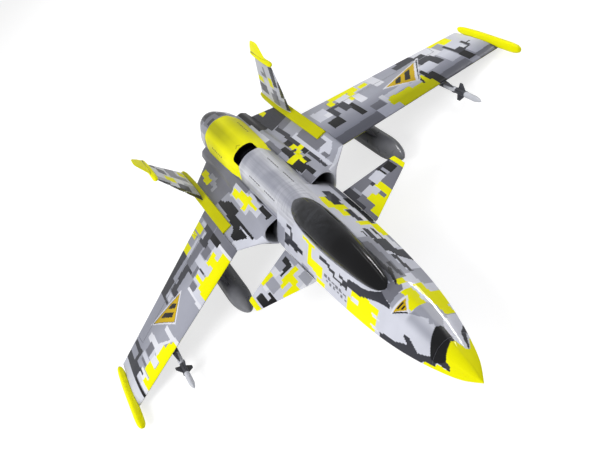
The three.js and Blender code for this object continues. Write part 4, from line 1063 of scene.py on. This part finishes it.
def spine_paint(x, y, z, normal):
    tints = np.full(len(x), SILVER, np.int32)
    out = np.abs(x)
    # yellow points beside the slot
    points = (out > 27.5 + (HATCH_FRONT - y) * 0.62) & (out < 46.5) & (y > 66)
    tints[points] = HATCH_PAINT
    tints[(out >= 46.5) & (y > 40)] = LIGHT
    return tints


def spine_cover():
    body = core_solid("spine_cover_skin", BODY_SPLIT + JOINT, SPINE_REAR, step=1.8, upper=12,
                      lower=4, paint=spine_paint)
    hollow(body, BODY_SPLIT - 4, SPINE_REAR + 4, wall=4)
    carve(body, side_cutter(SPINE_LIMITS), "INTERSECT")
    for side, _ in SIDES:
        cut_duct(body, side)
    piece(body, "airframe", "spine_cover")


def fan_hatch():
    body = core_solid("fan_hatch_skin", HATCH_FRONT, HATCH_REAR, step=1.8, upper=12, lower=4,
                      paint=HATCH_PAINT)
    hollow(body, HATCH_FRONT - 6, HATCH_REAR + 6, wall=4)
    carve(body, side_cutter(rounded_hatch(HATCH)), "INTERSECT")
    carve(body, plan_cutter(SLOT, 30, 100, BLACK))
    piece(body, "hatch", "fan_hatch")


def tail_cone():
    body = core_solid("tail_cone_skin", TAIL_SPLIT + JOINT, TAIL_Y, paint=body_paint)
    hollow(body, 370, 420, wall=6)
    carve(body, lathe("cut", 0, FAN_Z, TAIL_BORE, step=20))
    piece(body, "airframe", "tail_cone")


rear_fuselage()
spine_cover()
fan_hatch()
tail_cone()

# ------------------------------------------------------------------ nacelles, liners, tail rails
# y, then 14 pairs of x, z: inner upper point, over the top to the outer edge, back underneath
ROOT_TABLE = np.array([
    [-130, 38, 30, 46, 38.5, 61, 39.6, 75, 38.8, 84, 34.5, 89.5, 28, 92.2, 20, 92.5, 14,
     91.5, 8, 87.5, 0, 82.5, -5.5, 77.5, -8.5, 55, -8, 40, 12],
    [-118, 38, 30, 46.3, 38.6, 61, 39.7, 75, 39, 84.5, 35, 93, 29.5, 101, 23.5, 107.5, 17.2,
     107.2, 14, 99, 6, 88, -3.5, 77.5, -9.5, 52, -20, 40, 12],
    [-85, 38, 30, 47, 39, 61, 40, 74, 39.2, 84, 35.5, 104, 30, 128, 25.2, 150, 20.8,
     150, 19.2, 128, 13, 104, 4, 78, -13, 48, -32, 38, 5],
    [-50, 38, 28, 48, 39, 61, 39.8, 73, 38.7, 84, 34.8, 103, 31.5, 128, 29, 150, 27,
     150, 13.5, 128, 8, 103, 0, 76, -19, 46, -38, 36, 5],
    [10, 36, 28, 48.5, 38.5, 60, 38, 71, 36, 82, 31.5, 103, 30, 128, 29.2, 150, 29,
     150, 11.5, 128, 5.5, 103, -3, 75, -24, 44, -42, 34, 5],
    [70, 36, 28, 49, 37.5, 59.5, 36, 70, 33, 80, 27.5, 103, 26.5, 128, 26.5, 150, 26.5,
     150, 12.5, 128, 6.5, 103, -2, 74, -24, 44, -42, 34, 5],
    [130, 36, 26, 50, 35, 59, 32.5, 68.5, 29.5, 77.5, 23.5, 101, 22.5, 126, 23, 150, 23.3,
     150, 15, 126, 9, 101, 1.5, 73, -21.5, 44, -41, 34, 5],
    [190, 36, 24, 51, 31.5, 59.5, 29, 68, 26.3, 76, 19.5, 97, 19, 118, 19.8, 137.5, 20.3,
     137.5, 16, 118, 11, 97, 4, 72, -18, 44, -39, 34, 5],
    [246, 36, 20, 52, 28.5, 60, 26.5, 68, 24.2, 75.3, 17, 92, 16.5, 110, 17, 128.5, 17.5,
     128.5, 16, 110, 12.5, 92, 6, 71, -13.5, 44, -35, 34, 5],
    [304, 36, 18, 52.5, 25.5, 60, 24, 67.5, 22.3, 74.5, 15.5, 75.6, 14.3, 76.6, 13.2,
     78, 12.2, 78, 11, 76.8, 8, 75.8, 3, 70, -8, 44, -29, 34, 5],
    [341, 36, 18, 52.5, 23.8, 60, 22.8, 67, 21.2, 73.5, 14.5, 74.6, 13.4, 75.4, 12.4,
     76, 11.4, 76, 10, 75.4, 7.5, 74, 3.5, 68, -5, 44, -22, 34, 5]])
ROOT_Y = ROOT_TABLE[:, 0]
ROOT = ROOT_TABLE[:, 1:].reshape(-1, 14, 2)
# y, x0, x1, z0, z1
RAIL = [[-16, 126.5, 150.1, 21, 31.8], [250, 126.5, 150.1, 21, 31.8],
        [300, 128.5, 149, 21.5, 31.6], [318, 131.5, 146, 23, 31], [324, 135, 143, 25, 30]]
SPAR_INNER, SPAR_OUTER, SPAR_HOLE = (134.5, -40, 21.97), (411.5, -46, -45.55), 3.35


def root_section(y):
    i = min(len(ROOT_Y) - 2, max(0, int(np.searchsorted(ROOT_Y, y, side="right")) - 1))
    t = min(1, max(0, (y - ROOT_Y[i]) / (ROOT_Y[i + 1] - ROOT_Y[i])))
    return lerp(ROOT[i], ROOT[i + 1], t)


def root_rings(side):
    ys = merged(stations(-130, -85, 1.6), stations(-85, 341, 2.6), ROOT_Y)
    sections = []
    for y in ys:      # linear between stations keeps the edges straight, a blend rounds the bends
        reach = np.clip((y + 85) / 20, 0, 1) * np.clip((246 - y) / 11, 0, 1)
        sections.append(sum(weight * root_section(y + shift * reach)
                            for shift, weight in ((-9, 0.25), (0, 0.5), (9, 0.25))))
    lines = np.moveaxis(np.array(sections), 1, 0)
    top = catmull_rom(lines[1:8], 8)
    # the last points before the outer edge keep to a straight slope
    share = (np.arange(45, 49)[:, None] - 40) / 8
    top[45:, :, 1] = lerp(lines[6, :, 1], lines[7, :, 1], share)
    bottom = catmull_rom(lines[8:13], 6)
    ring = np.moveaxis(np.concatenate([lines[:1], top, bottom, lines[13:]]), 0, 1)
    return np.stack([ring[..., 0] * side, np.repeat(ys[:, None], ring.shape[1], 1),
                     ring[..., 1]], -1)


def rail_solid(name, grow, side, tint=FOAM):
    """The rail with chamfered lower and softer upper edges, grown by so much all round."""
    low, high = 1.6, 0.8                      # chamfers
    rings = []
    for i, (y, x0, x1, z0, z1) in enumerate(RAIL):
        y += -grow if i == 0 else grow if i == len(RAIL) - 1 else 0
        x0, x1, z0, z1 = x0 - grow, x1 + grow, z0 - grow, z1 + grow
        rings.append([(side * x, y, z) for x, z in (
            (x0 + low, z0), (x1 - low, z0), (x1, z0 + low), (x1, z1 - high),
            (x1 - high, z1), (x0 + high, z1), (x0, z1 - high), (x0, z0 + low))])
    return loft(name, rings, tint, (tint, tint))


def cut_spar(body, side):
    start, end = (np.array(point) * (side, 1, 1) for point in (SPAR_INNER, SPAR_OUTER))
    carve(body, rod_cutter(start, end, SPAR_HOLE))


def wing_root(side, tag):
    def paint(x, y, z, normal):
        tints = blocks(x, y, ROOT_CAMO[tag], MID)
        out = np.abs(x)
        # pale rounded leading edge
        lip = (out > 92) & (np.abs((y + 130) - (out - 92.5) * 0.78) < 7.5) & (y < -84)
        tints = np.where(lip & (normal[:, 2] > -0.2), LIGHT, tints)
        low = digital(x + 300, y + 500, 5, yellow=0.8)
        return np.where(normal[:, 2] > -0.25, tints, low).astype(np.int32)

    body = loft(f"wing_root_{tag}_skin", root_rings(side), paint, (LIGHT, DARK))
    carve(body, core_solid("cut", -200, TAIL_Y, -0.3, step=7, upper=6, lower=4))
    cut_duct(body, side)
    carve(body, rail_solid("cut", 0.3, side))
    cut_spar(body, side)
    piece(body, "airframe", f"wing_root_{tag}", 42)


def duct_liner(side, tag):
    """A thin tube, open at both ends."""
    ys = stations(-129.6, DUCT_END, 6)
    shells = []
    for offset, least_x in ((1.2, 0.3), (0.0, 1.1)):
        shell = np.array([duct_ring(y, offset) for y in ys])
        shell[..., 0] = np.maximum(shell[..., 0], least_x)
        shells.append(shell.reshape(-1, 3))
    rows, count = len(ys), len(shells[0]) // len(ys)
    points = np.concatenate(shells) * (side, 1, 1)
    wall = grid_faces(rows, count)
    inner = rows * count
    i = np.arange(count)
    j = (i + 1) % count
    end = (rows - 1) * count
    front = np.stack([i, inner + i, inner + j, j], -1)
    rear = np.stack([end + j, inner + end + j, inner + end + i, end + i], -1)
    faces = np.concatenate([wall, wall[:, ::-1] + inner, front, rear])
    if signed_volume(points, faces.tolist()) < 0:
        faces = faces[:, ::-1]
    body = mesh_object(f"inlet_duct_{tag}_liner", points, faces.tolist(), [0] * len(faces),
                       [FINISH["duct_black"]])
    body["duct"] = 1
    piece(body, "airframe", f"inlet_duct_{tag}", 45)


def tail_rail(side, tag):
    body = rail_solid(f"tail_rail_{tag}_skin", 0, side, RAIL_PAINT)
    bevel = body.modifiers.new("edge", "BEVEL")
    bevel.width = 0.0011
    bevel.segments = 3
    bevel.limit_method = "ANGLE"
    piece(body, "airframe", f"tail_rail_{tag}", 50)


for side, tag in SIDES:
    wing_root(side, tag)
    duct_liner(side, tag)
    tail_rail(side, tag)

# ------------------------------------------------------------------ outer wings and ailerons
# each pair is the value at the root and at the tip
WING_X, WING_LE, WING_TE = (150.5, 521.0), (-85.0, -100.0), (126.0, 55.0)
WING_Z, WING_THICK = (20.0, -70.0), (9.6, 6.4)
TIP_X, TIP_Z = WING_X[1], WING_Z[1]
# chord fraction, share of the half thickness
WING_FOIL = np.array([[0, 0], [0.015, 0.30], [0.07, 0.62], [0.18, 0.90], [0.36, 1.0],
                      [0.56, 0.84], [0.74, 0.53], [0.88, 0.27], [1, 0.05]])
WING_CHORD = np.concatenate([[0, 0.002, 0.006, 0.012], np.linspace(0.02, 1, 90)])
# hinge line as a chord fraction; aileron ends and horn as span fractions
HINGE, AILERON_START, AILERON_END, HORN_AT = 0.74, 0.13, 0.80, 0.42
# outlines as back and down from the hinge line
AILERON_OPENING = [(-0.8, -60), (110, -60), (110, 60), (-0.8, 60)]
AILERON_WEDGE = [(0, 0), (1.9, -4.6), (2.6, -12), (2.6, -60), (110, -60), (110, 60),
                 (3.2, 60), (3.2, 12), (2.6, 4.6)]
HORN = [(2.4, 1.0), (5.5, 1.0), (4.4, 17.4), (3.6, 18.2), (1.4, 18.2), (0.5, 17.3),
        (0.5, 7.6), (2.4, 6.6)]
SERVO_POCKET = [(-6.5, -3), (17.5, -3), (17.5, 40), (-6.5, 40)]
# y, half width, half height
TIP_POD = np.array([
    [-162, 2.2, 3.0], [-160.5, 4.4, 5.2], [-157, 6.6, 7.6], [-148, 8.8, 10.2],
    [-125, 9.6, 11.6], [-40, 9.6, 11.4], [20, 8.2, 9.6], [42, 6.4, 7.6], [50, 4.2, 5.2],
    [54, 1.4, 2]])


def foil(profile, chord):
    """Thickness share along the chord, interpolated over its square root for a round nose."""
    return monotone_cubic(np.sqrt(profile[:, 0]), profile[:, 1], np.sqrt(chord))


def wing_points(span, chord, face):
    """Points of the left wing; face is 1 above, -1 below and 0 on the mean line."""
    front, rear = lerp(*WING_LE, span), lerp(*WING_TE, span)
    thick = lerp(*WING_THICK, span)
    camber = 0.16 * thick * np.sin(np.pi * np.minimum(1, chord))
    z = lerp(*WING_Z, span) + face * thick * foil(WING_FOIL, chord) + camber
    return np.stack([np.full_like(chord, lerp(*WING_X, span)),
                     front + chord * (rear - front), z], -1)


def wing_rings(side):
    rings = [np.concatenate([wing_points(span, WING_CHORD, 1),
                             wing_points(span, WING_CHORD[1:], -1)[::-1]])
             for span in np.linspace(0, 1, 176)]
    return np.array(rings) * (side, 1, 1)


def hinge_point(span):
    return wing_points(span, np.array([HINGE]), 0)[0]


horn_root = hinge_point(HORN_AT)
hinge_axis = hinge_point(AILERON_END) - hinge_point(AILERON_START)
hinge_axis /= np.linalg.norm(hinge_axis)
hinge_down = np.array([0, 0, -1.0]) + hinge_axis * hinge_axis[2]
hinge_down /= np.linalg.norm(hinge_down)
hinge_back = np.cross(hinge_axis, hinge_down)
hinge_back /= np.linalg.norm(hinge_back)
# aileron ends along the hinge line, from the horn
AILERON_IN, AILERON_OUT = ((span - HORN_AT) * (WING_X[1] - WING_X[0]) / hinge_axis[0]
                           for span in (AILERON_START, AILERON_END))


def hinge_prism(outline, start, end, side, origin=horn_root, tint=FOAM):
    """An outline of back and down, run along the hinge line."""
    def place(back, down, along):
        x, y, z = origin + hinge_axis * along + hinge_back * back + hinge_down * down
        return (x * side, y, z)
    return prism("cut", outline, start, end, place, tint)


def wing_shading(side):
    """Painted shade: the left wing darkens towards its leading edge, the right wing towards its
    rear.
    """
    def shading(x, y, z):
        span = np.clip((np.abs(x) - WING_X[0]) / (WING_X[1] - WING_X[0]), 0, 1)
        front, rear = lerp(*WING_LE, span), lerp(*WING_TE, span)
        chord = (y - front) / (rear - front)
        if side > 0:
            return np.clip((0.52 - chord) / 0.40, 0, 1)
        return 0.42 * np.clip((chord - 0.35) / 0.4, 0, 1)
    return shading


def wing(side, tag, paint):
    body = loft(f"wing_{tag}_skin", wing_rings(side), paint)
    carve(body, hinge_prism(AILERON_OPENING, AILERON_IN, AILERON_OUT, side))
    carve(body, hinge_prism(SERVO_POCKET, -3, 12.6, side, origin=horn_root - hinge_back * 62))
    cut_spar(body, side)
    painted_shade(body, wing_shading(side))
    piece(body, "airframe", f"wing_{tag}")


def aileron(side, tag, paint):
    gap = 0.8
    body = loft(f"aileron_{tag}_skin", wing_rings(side), paint)
    carve(body, hinge_prism(AILERON_WEDGE, AILERON_IN + gap, AILERON_OUT - gap, side),
          "INTERSECT")
    carve(body, hinge_prism(HORN, -1.6, 0.7, side, tint=BLACK), "UNION")
    painted_shade(body, wing_shading(side))
    piece(body, f"aileron_{tag}", f"aileron_{tag}")


def tip_pod(side, tag):
    ys = merged(stations(-162, -146, 0.8), stations(-146, 42, 2.5), stations(42, 54, 1.0))
    size = monotone_cubic(TIP_POD[:, 0], TIP_POD[:, 1:], ys)
    cos, sin = np.cos(circle(40)), np.sin(circle(40))
    power = 1.75                              # under 2: softly ridged along the top and the keel
    ridge = (np.abs(cos) ** power + np.abs(sin) ** power) ** (-1 / power)
    rings = np.stack([side * (TIP_X + 10.0 + size[:, :1] * cos * ridge),
                      np.repeat(ys[:, None], 40, 1),
                      TIP_Z + 2.5 + size[:, 1:] * sin * ridge], -1)
    body = loft(f"tip_pod_{tag}_skin", rings, YELLOW, (YELLOW, YELLOW))
    piece(body, "airframe", f"tip_pod_{tag}")


for side, tag in SIDES:
    paint = top_paint(WING_CAMO[tag] + WING_DECAL[tag], MID, 21 + side)
    wing(side, tag, paint)
    aileron(side, tag, paint)
    tip_pod(side, tag)

# ------------------------------------------------------------------ fins, canards
# chord fraction, share of the half thickness
FIN_FOIL = np.array([[0, 0], [0.04, 0.42], [0.16, 0.82], [0.36, 1], [0.62, 0.72], [1, 0.1]])
CANARD_FOIL = np.array([[0, 0], [0.04, 0.45], [0.16, 0.82], [0.36, 1], [0.66, 0.66], [1, 0.1]])
CHORD = np.concatenate([[0, 0.004, 0.012], np.linspace(0.025, 1, 62)])
# z, x, leading edge y, trailing edge y, half thickness, sideways lean from front to rear
FIN = np.array([[32.2, 139.5, 142, 314, 4.3, -2], [80, 158.5, 160, 295, 3.6, -2],
                [126.5, 175.8, 178, 276, 2.8, -1.5]])
# the same columns, without lean
FIN_CAP = np.array([[134, 178.8, 201, 300, 2.6, 0], [150, 186, 220, 293, 2.0, 0],
                    [160, 190.6, 231, 285, 1.6, 0], [163.5, 192.4, 236, 280, 1.3, 0],
                    [165, 193.2, 243, 272, 0.8, 0]])
# y, half width, half height
FIN_POD = np.array([[174, 1, 1], [177, 4.2, 3.6], [186, 5.8, 4.6], [235, 5.6, 4.8],
                    [280, 3.6, 3.4], [302, 1.4, 1.8], [306, 0.6, 0.8]])
# each pair is the value at the root and at the tip
CANARD_X, CANARD_LE, CANARD_TE, CANARD_THICK = (77.5, 194), (-308, -247), (-172, -205), (4.6, 2.1)
CANARD_MIDDLE = -226                          # y about which the tip narrows


def fin_rings(table, zs, side, chord):
    rings = []
    for z, (x, front, rear, thick, lean) in zip(zs, columns_at(table, zs)):
        half = foil(FIN_FOIL, chord) * thick
        faces = [np.stack([x + lean * chord + h, front + chord * (rear - front),
                           np.full_like(chord, z)], -1) for h in (half, -half)]
        rings.append(np.concatenate([faces[0], faces[1][1:][::-1]]))
    return np.array(rings) * (side, 1, 1)


def fin(side, tag):
    other = "right" if side > 0 else "left"

    def paint(x, y, z, normal):
        return np.where(normal[:, 0] * side < 0, blocks(y, z, FIN_CAMO[tag], LIGHT),
                        blocks(y, z, FIN_CAMO[other], MID)).astype(np.int32)

    body = loft(f"fin_{tag}_skin", fin_rings(FIN, np.linspace(32.2, 126.5, 48), side, CHORD),
                paint)
    # painted shade, stronger on the left fin than on the right
    painted_shade(body, lambda x, y, z: np.full(len(x), 0.34 if side > 0 else 0.10))
    piece(body, "airframe", f"fin_{tag}")


def fin_pod(side, tag):
    """The pod on the fin, leaning with it, and the small blade above."""
    ys = merged(stations(174, 186, 0.8), stations(186, 306, 2.4))
    size = monotone_cubic(FIN_POD[:, 0], FIN_POD[:, 1:], ys)
    t = circle(36)
    u, v = size[:, :1] * np.cos(t), size[:, 1:] * np.sin(t)
    rings = np.stack([side * (178.3 + u + 0.37 * v), np.repeat(ys[:, None], 36, 1),
                      132 + v - 0.37 * u * 0.4], -1)
    body = loft(f"fin_pod_{tag}_skin", rings, YELLOW, (YELLOW, YELLOW))
    blade = loft("cut", fin_rings(FIN_CAP, np.linspace(134, 165, 20), side, CHORD[::2]),
                 lambda x, y, z, normal: np.where(z < 137.2, BLACK, YELLOW),
                 (YELLOW, YELLOW))
    carve(body, blade, "UNION")
    piece(body, "airframe", f"fin_pod_{tag}")


def canard_ring(x, side, thin=1.0, squeeze=1.0, root=False):
    span = (x - CANARD_X[0]) / (CANARD_X[1] - CANARD_X[0])
    front, rear = lerp(*CANARD_LE, span), lerp(*CANARD_TE, span)
    y = front + CHORD * (rear - front)
    y = CANARD_MIDDLE + (y - CANARD_MIDDLE) * squeeze
    half = foil(CANARD_FOIL, CHORD) * lerp(*CANARD_THICK, span) * thin
    # the root edge follows the chine
    out = side * (chine_width(y) + 0.9) if root else np.full_like(CHORD, side * x)
    return np.concatenate([np.stack([out, y, half], -1), np.stack([out, y, -half], -1)[1:][::-1]])


def canard(side, tag):
    rings = [canard_ring(79, side, root=True)]
    rings += [canard_ring(x, side) for x in np.linspace(80.5, 184, 56)]
    paint = top_paint(CANARD_CAMO[tag], GREY if side > 0 else LIGHT, 40 + side)
    body = loft(f"canard_{tag}_skin", rings, paint)
    carve(body, rod_cutter((70 * side, CANARD_SHAFT_Y, 0), (113 * side, CANARD_SHAFT_Y, 0),
                           2.3, 16))
    piece(body, "canards", f"canard_{tag}")


def canard_tip(side, tag):
    rings = []
    for x in np.linspace(184.3, 194, 12):
        close = np.clip((x - 188) / 6, 0, 1)
        rings.append(canard_ring(x, side, thin=float(np.sqrt(1 - 0.55 * close * close)),
                                 squeeze=float(1 - 0.09 * close * close)))
    body = loft(f"canard_tip_{tag}_skin", rings, YELLOW, (YELLOW, YELLOW))
    piece(body, "canards", f"canard_tip_{tag}")


for side, tag in SIDES:
    fin(side, tag)
    fin_pod(side, tag)
    canard(side, tag)
    canard_tip(side, tag)


# ------------------------------------------------------------------ canopy glass
def settle(ys, values):
    """Evens out a line along the body, leaving both ends where they are."""
    even = np.linspace(ys[0], ys[-1], 320)
    kernel = np.hanning(15)[1:-1]
    kernel /= kernel.sum()
    line = np.pad(np.interp(even, ys, values), 6, mode="reflect", reflect_type="odd")
    return np.interp(ys, even, np.convolve(line, kernel, "valid"))


def canopy_glass():
    ys = merged(np.linspace(CANOPY_FRONT, -474, 16), stations(-474, -180, 2.6),
                np.linspace(-180, CANOPY_REAR, 16))
    widths = canopy_width(ys)
    rises = monotone_cubic(RISE[:, 0], RISE[:, 1], ys)
    seats = settle(ys, np.array([top_z(y, width) for y, width in zip(ys, widths)]))
    crests = settle(ys, core_half(ys)[:, 0, 1])
    arc = np.linspace(0, math.pi, 49)
    rings = []
    for y, width, rise, seat, crest in zip(ys, widths, rises, seats, crests):
        ring = []
        for inset, order, least in ((0.0, arc, 0.5), (1.8, arc[::-1], 0.25)):
            half = max(0.35, width - inset)
            foot = seat - 0.5
            height = max(least, crest + rise - inset - foot)
            ring.append(np.stack([half * np.cos(order), np.full(49, y),
                                  foot + height * np.sin(order) ** 0.85], -1))
        rings.append(np.concatenate(ring))
    body = loft("canopy_glass_shell", rings, 0, (0, 0), [canopy_material])
    piece(body, "canopy", "canopy_glass", 50)


canopy_glass()

# ------------------------------------------------------------------ stores
TANK_X, TANK_HALF, TANK_RADIUS = 216, 152, 23.5
MISSILE_X = 394
# y, radius
MISSILE = [[-202, 0.15], [-195, 3.4], [-182, 6], [-60, 6], [-40, 3], [-38, 0.15]]
MISSILE_FIN = [(-148, 4), (-133, 17.5), (-125, 17.5), (-122, 4)]      # y, distance from the axis


def drop_tank(side, tag):
    """Straight from y -76 to 92 with rounded ends; the stations crowd towards the ends."""
    ys = -TANK_HALF * np.cos(np.linspace(0, math.pi, 60))
    ys = np.sort(np.concatenate([ys[:28], [-40, 0, 40], ys[32:]]))
    front = np.clip((-76 - ys) / 76.0, 0, 1)
    rear = np.clip((ys - 92) / 60.0, 0, 1)
    radius = TANK_RADIUS * (1 - front**2.0) ** 0.64 * (1 - rear**2.0) ** 0.64
    rows = np.stack([ys, np.maximum(0.15, radius)], -1)
    body = lathe(f"drop_tank_{tag}_shell", TANK_X * side, STORE_Z, rows, step=2 * TANK_HALF,
                 count=64, materials=[FINISH["store_grey"]])
    piece(body, "airframe", f"drop_tank_{tag}")


def missile(side, tag):
    materials = [FINISH["missile_grey"], FINISH["missile_dark"]]

    def paint(x, y, z, normal):
        return ((y > -150) & (y < -118)) | (y > -78)

    body = lathe(f"missile_{tag}_body", MISSILE_X * side, STORE_Z, MISSILE, step=2.0, count=40,
                 paint=paint, materials=materials)
    for k in range(4):
        angle = math.pi / 4 + k * math.pi / 2
        cos, sin = math.cos(angle), math.sin(angle)

        def place(y, out, across, cos=cos, sin=sin):
            return (side * (MISSILE_X + out * cos - across * sin), y,
                    STORE_Z + out * sin + across * cos)
        carve(body, prism("fin", MISSILE_FIN, -0.7, 0.7, place, 1, materials), "UNION")
    piece(body, "airframe", f"missile_{tag}")


for side, tag in SIDES:
    drop_tank(side, tag)
    missile(side, tag)

# ------------------------------------------------------------------ CAD pieces that stay
KEPT = {
    "duct_black": "exhaust_tube", "cockpit_frame": "canopy_frame", "skid_plastic": "belly_skid",
    "plywood": "battery_tray", "battery_wrap": "battery", "strap": "battery_strap",
    "electronics": "receiver speed_controller",
    "alloy": "canard_shaft canard_pushrod pushrod_left pushrod_right fan_motor fan_spinner",
    "servo_case": "canard_servo aileron_servo_left aileron_servo_right",
    "control_horn": "canard_servo_arm servo_arm_left servo_arm_right",
    "fan_composite": "fan_housing fan_rotor",
    "carbon": "wing_spar_left wing_spar_right",
    "pylon_dark": "tank_pylon_left tank_pylon_right missile_pylon_left missile_pylon_right",
}
for finish_name, names in KEPT.items():
    for name in names.split():
        mesh = nodes[name].data
        mesh.materials.clear()
        mesh.materials.append(FINISH[finish_name])
        mesh.polygons.foreach_set("material_index", np.zeros(len(mesh.polygons), np.int32))

# ------------------------------------------------------------------ stage, lights, camera (m)
FLOOR_Z, FLOOR_HALF = -0.0318, 30
EYE = np.array([-24.7, -1380.0, 914.6])       # camera, mm from the origin
PITCH, LENS, SENSOR = 35, 46.17, 36.0         # degrees below level; lens and sensor in mm


def build_floor():
    """A pale floor that glows for the camera and is clear from below."""
    mesh = bpy.data.meshes.new("floor")
    corners = ((-1, -1), (1, -1), (1, 1), (-1, 1))
    mesh.from_pydata([(x * FLOOR_HALF, y * FLOOR_HALF, FLOOR_Z) for x, y in corners], [],
                     [(0, 1, 2, 3)])
    floor = bpy.data.objects.new("floor", mesh)
    scene.collection.objects.link(floor)
    shader = Shader("studio_floor", placed=False)
    seen = shader.node("LightPath").outputs["Is Camera Ray"]
    shader.set(Base_Color=(0.42, 0.42, 0.425, 1), Roughness=0.9, Specular_IOR_Level=0.0,
               Emission_Color=(1, 1, 1, 1),
               Emission_Strength=shader.add(shader.multiply(seen, 0.62), 0.10))
    under = shader.node("NewGeometry").outputs["Backfacing"]
    clear = shader.node("BsdfTransparent").outputs[0]
    mixer = shader.node("MixShader", Fac=under)
    shader.feed(mixer.inputs[1], shader.surface.outputs[0])
    shader.feed(mixer.inputs[2], clear)
    shader.feed(shader.output.inputs[0], mixer.outputs[0])
    mesh.materials.append(shader.material)
    floor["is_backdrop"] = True


def build_world():
    """White at full strength to the camera, 0.38 as light."""
    world = bpy.data.worlds.new("studio")
    scene.world = world
    world.use_nodes = True
    tree = world.node_tree
    background = tree.nodes["Background"]
    background.inputs[0].default_value = (1.0, 1.0, 1.0, 1)
    path = tree.nodes.new("ShaderNodeLightPath")
    strength = tree.nodes.new("ShaderNodeMapRange")
    strength.inputs["To Min"].default_value = 0.38
    strength.inputs["To Max"].default_value = 1.0
    tree.links.new(path.outputs["Is Camera Ray"], strength.inputs["Value"])
    tree.links.new(strength.outputs[0], background.inputs[1])


def frame_matrix(x_axis, y_axis, z_axis, at):
    rows = [(x_axis[i], y_axis[i], z_axis[i], at[i]) for i in range(3)]
    return Matrix(rows + [(0, 0, 0, 1)])


def area(name, at, target, size, power, upright=(0, 0, 1)):
    """Rectangular light at a place, facing its target."""
    light = bpy.data.lights.new(name, "AREA")
    light.shape = "RECTANGLE"
    light.size, light.size_y = size
    light.energy = power
    lamp = bpy.data.objects.new(name, light)
    scene.collection.objects.link(lamp)
    z_axis = (Vector(at) - Vector(target)).normalized()
    y_axis = Vector(upright)
    y_axis = (y_axis - y_axis.dot(z_axis) * z_axis).normalized()
    lamp.matrix_world = frame_matrix(y_axis.cross(z_axis), y_axis, z_axis, at)
    return lamp


def mirror_strip(name, patch, y0, y1, reach, width, power):
    """Strip light placed where the eye sees its reflection run along a surface.

    patch(y) gives a point of the surface, a neighbour across it and one along it.
    """
    ends = []
    for y in (y0, y1):
        point, across, along = (np.array(p, float) + (0, 0, LIFT) for p in patch(y))
        normal = np.cross(across - point, along - point)
        normal /= np.linalg.norm(normal)
        if normal[2] < 0:
            normal = -normal
        sight = point - EYE
        sight /= np.linalg.norm(sight)
        ray = sight - 2 * np.dot(sight, normal) * normal
        ends.append((point + ray * reach) * 0.001)
    axis = ends[1] - ends[0]
    lamp = area(name, tuple((ends[0] + ends[1]) / 2), tuple(point * 0.001),
                (width, float(np.linalg.norm(axis))), power, upright=tuple(axis))
    lamp.visible_camera = False


def canopy_patch(y):
    def arch(y, angle):
        width = float(canopy_width(y)[0])
        rise = float(monotone_cubic(RISE[:, 0], RISE[:, 1], np.array([y]))[0])
        foot = top_z(y, width) - 0.4
        crest = core_half(y)[0, 0, 1] + rise
        return (width * math.cos(angle), y, foot + (crest - foot) * math.sin(angle) ** 0.85)
    return arch(y, 1.0), arch(y, 0.94), arch(y + 3, 1.0)


def nose_patch(y):
    x = lerp(17, 35, (y + 655) / 150)
    return [(px, py, top_z(py, px)) for px, py in ((x, y), (x + 1.5, y), (x, y + 3))]


def build_lights():
    target = (0, -0.1, 0.05)
    key = area("key", (-2.6, -0.5, 1.9), target, size=(2.0, 2.0), power=88)
    fill = area("fill", (1.9, -1.9, 1.3), target, size=(1.0, 1.0), power=6)
    back = area("back", (0.7, 2.6, 1.9), (0.1, 0.1, 0.03), size=(2.6, 2.2), power=20)
    for lamp in (key, fill, back):
        lamp.visible_glossy = False
    mirror_strip("canopy_strip", canopy_patch, -478, -388, reach=5200, width=0.10, power=5)
    mirror_strip("nose_strip", nose_patch, -650, -508, reach=1500, width=0.05, power=5)


def build_camera():
    """Looks along +Y and down, rolled by 45 degrees."""
    lens = bpy.data.cameras.new("camera")
    camera = bpy.data.objects.new("camera", lens)
    scene.collection.objects.link(camera)
    lens.sensor_width = SENSOR
    lens.lens = LENS
    lens.clip_start, lens.clip_end = 0.02, 100
    pitch = math.radians(PITCH)
    right = Vector((1, 0, 0))
    up = Vector((0, math.sin(pitch), math.cos(pitch)))
    backward = Vector((0, -math.cos(pitch), math.sin(pitch)))
    camera.matrix_world = frame_matrix((right - up) / math.sqrt(2), (right + up) / math.sqrt(2),
                                       backward, EYE * 0.001)
    scene.camera = camera


scene.view_settings.view_transform = "Standard"
scene.view_settings.look = "None"
build_floor()
build_world()
build_lights()
build_camera()

visual_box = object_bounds()
sizes = {name: [list(map(float, corner)) for corner in (box[0], box[1])]
         for name, box in (("cad", cad_box), ("visual", visual_box))}
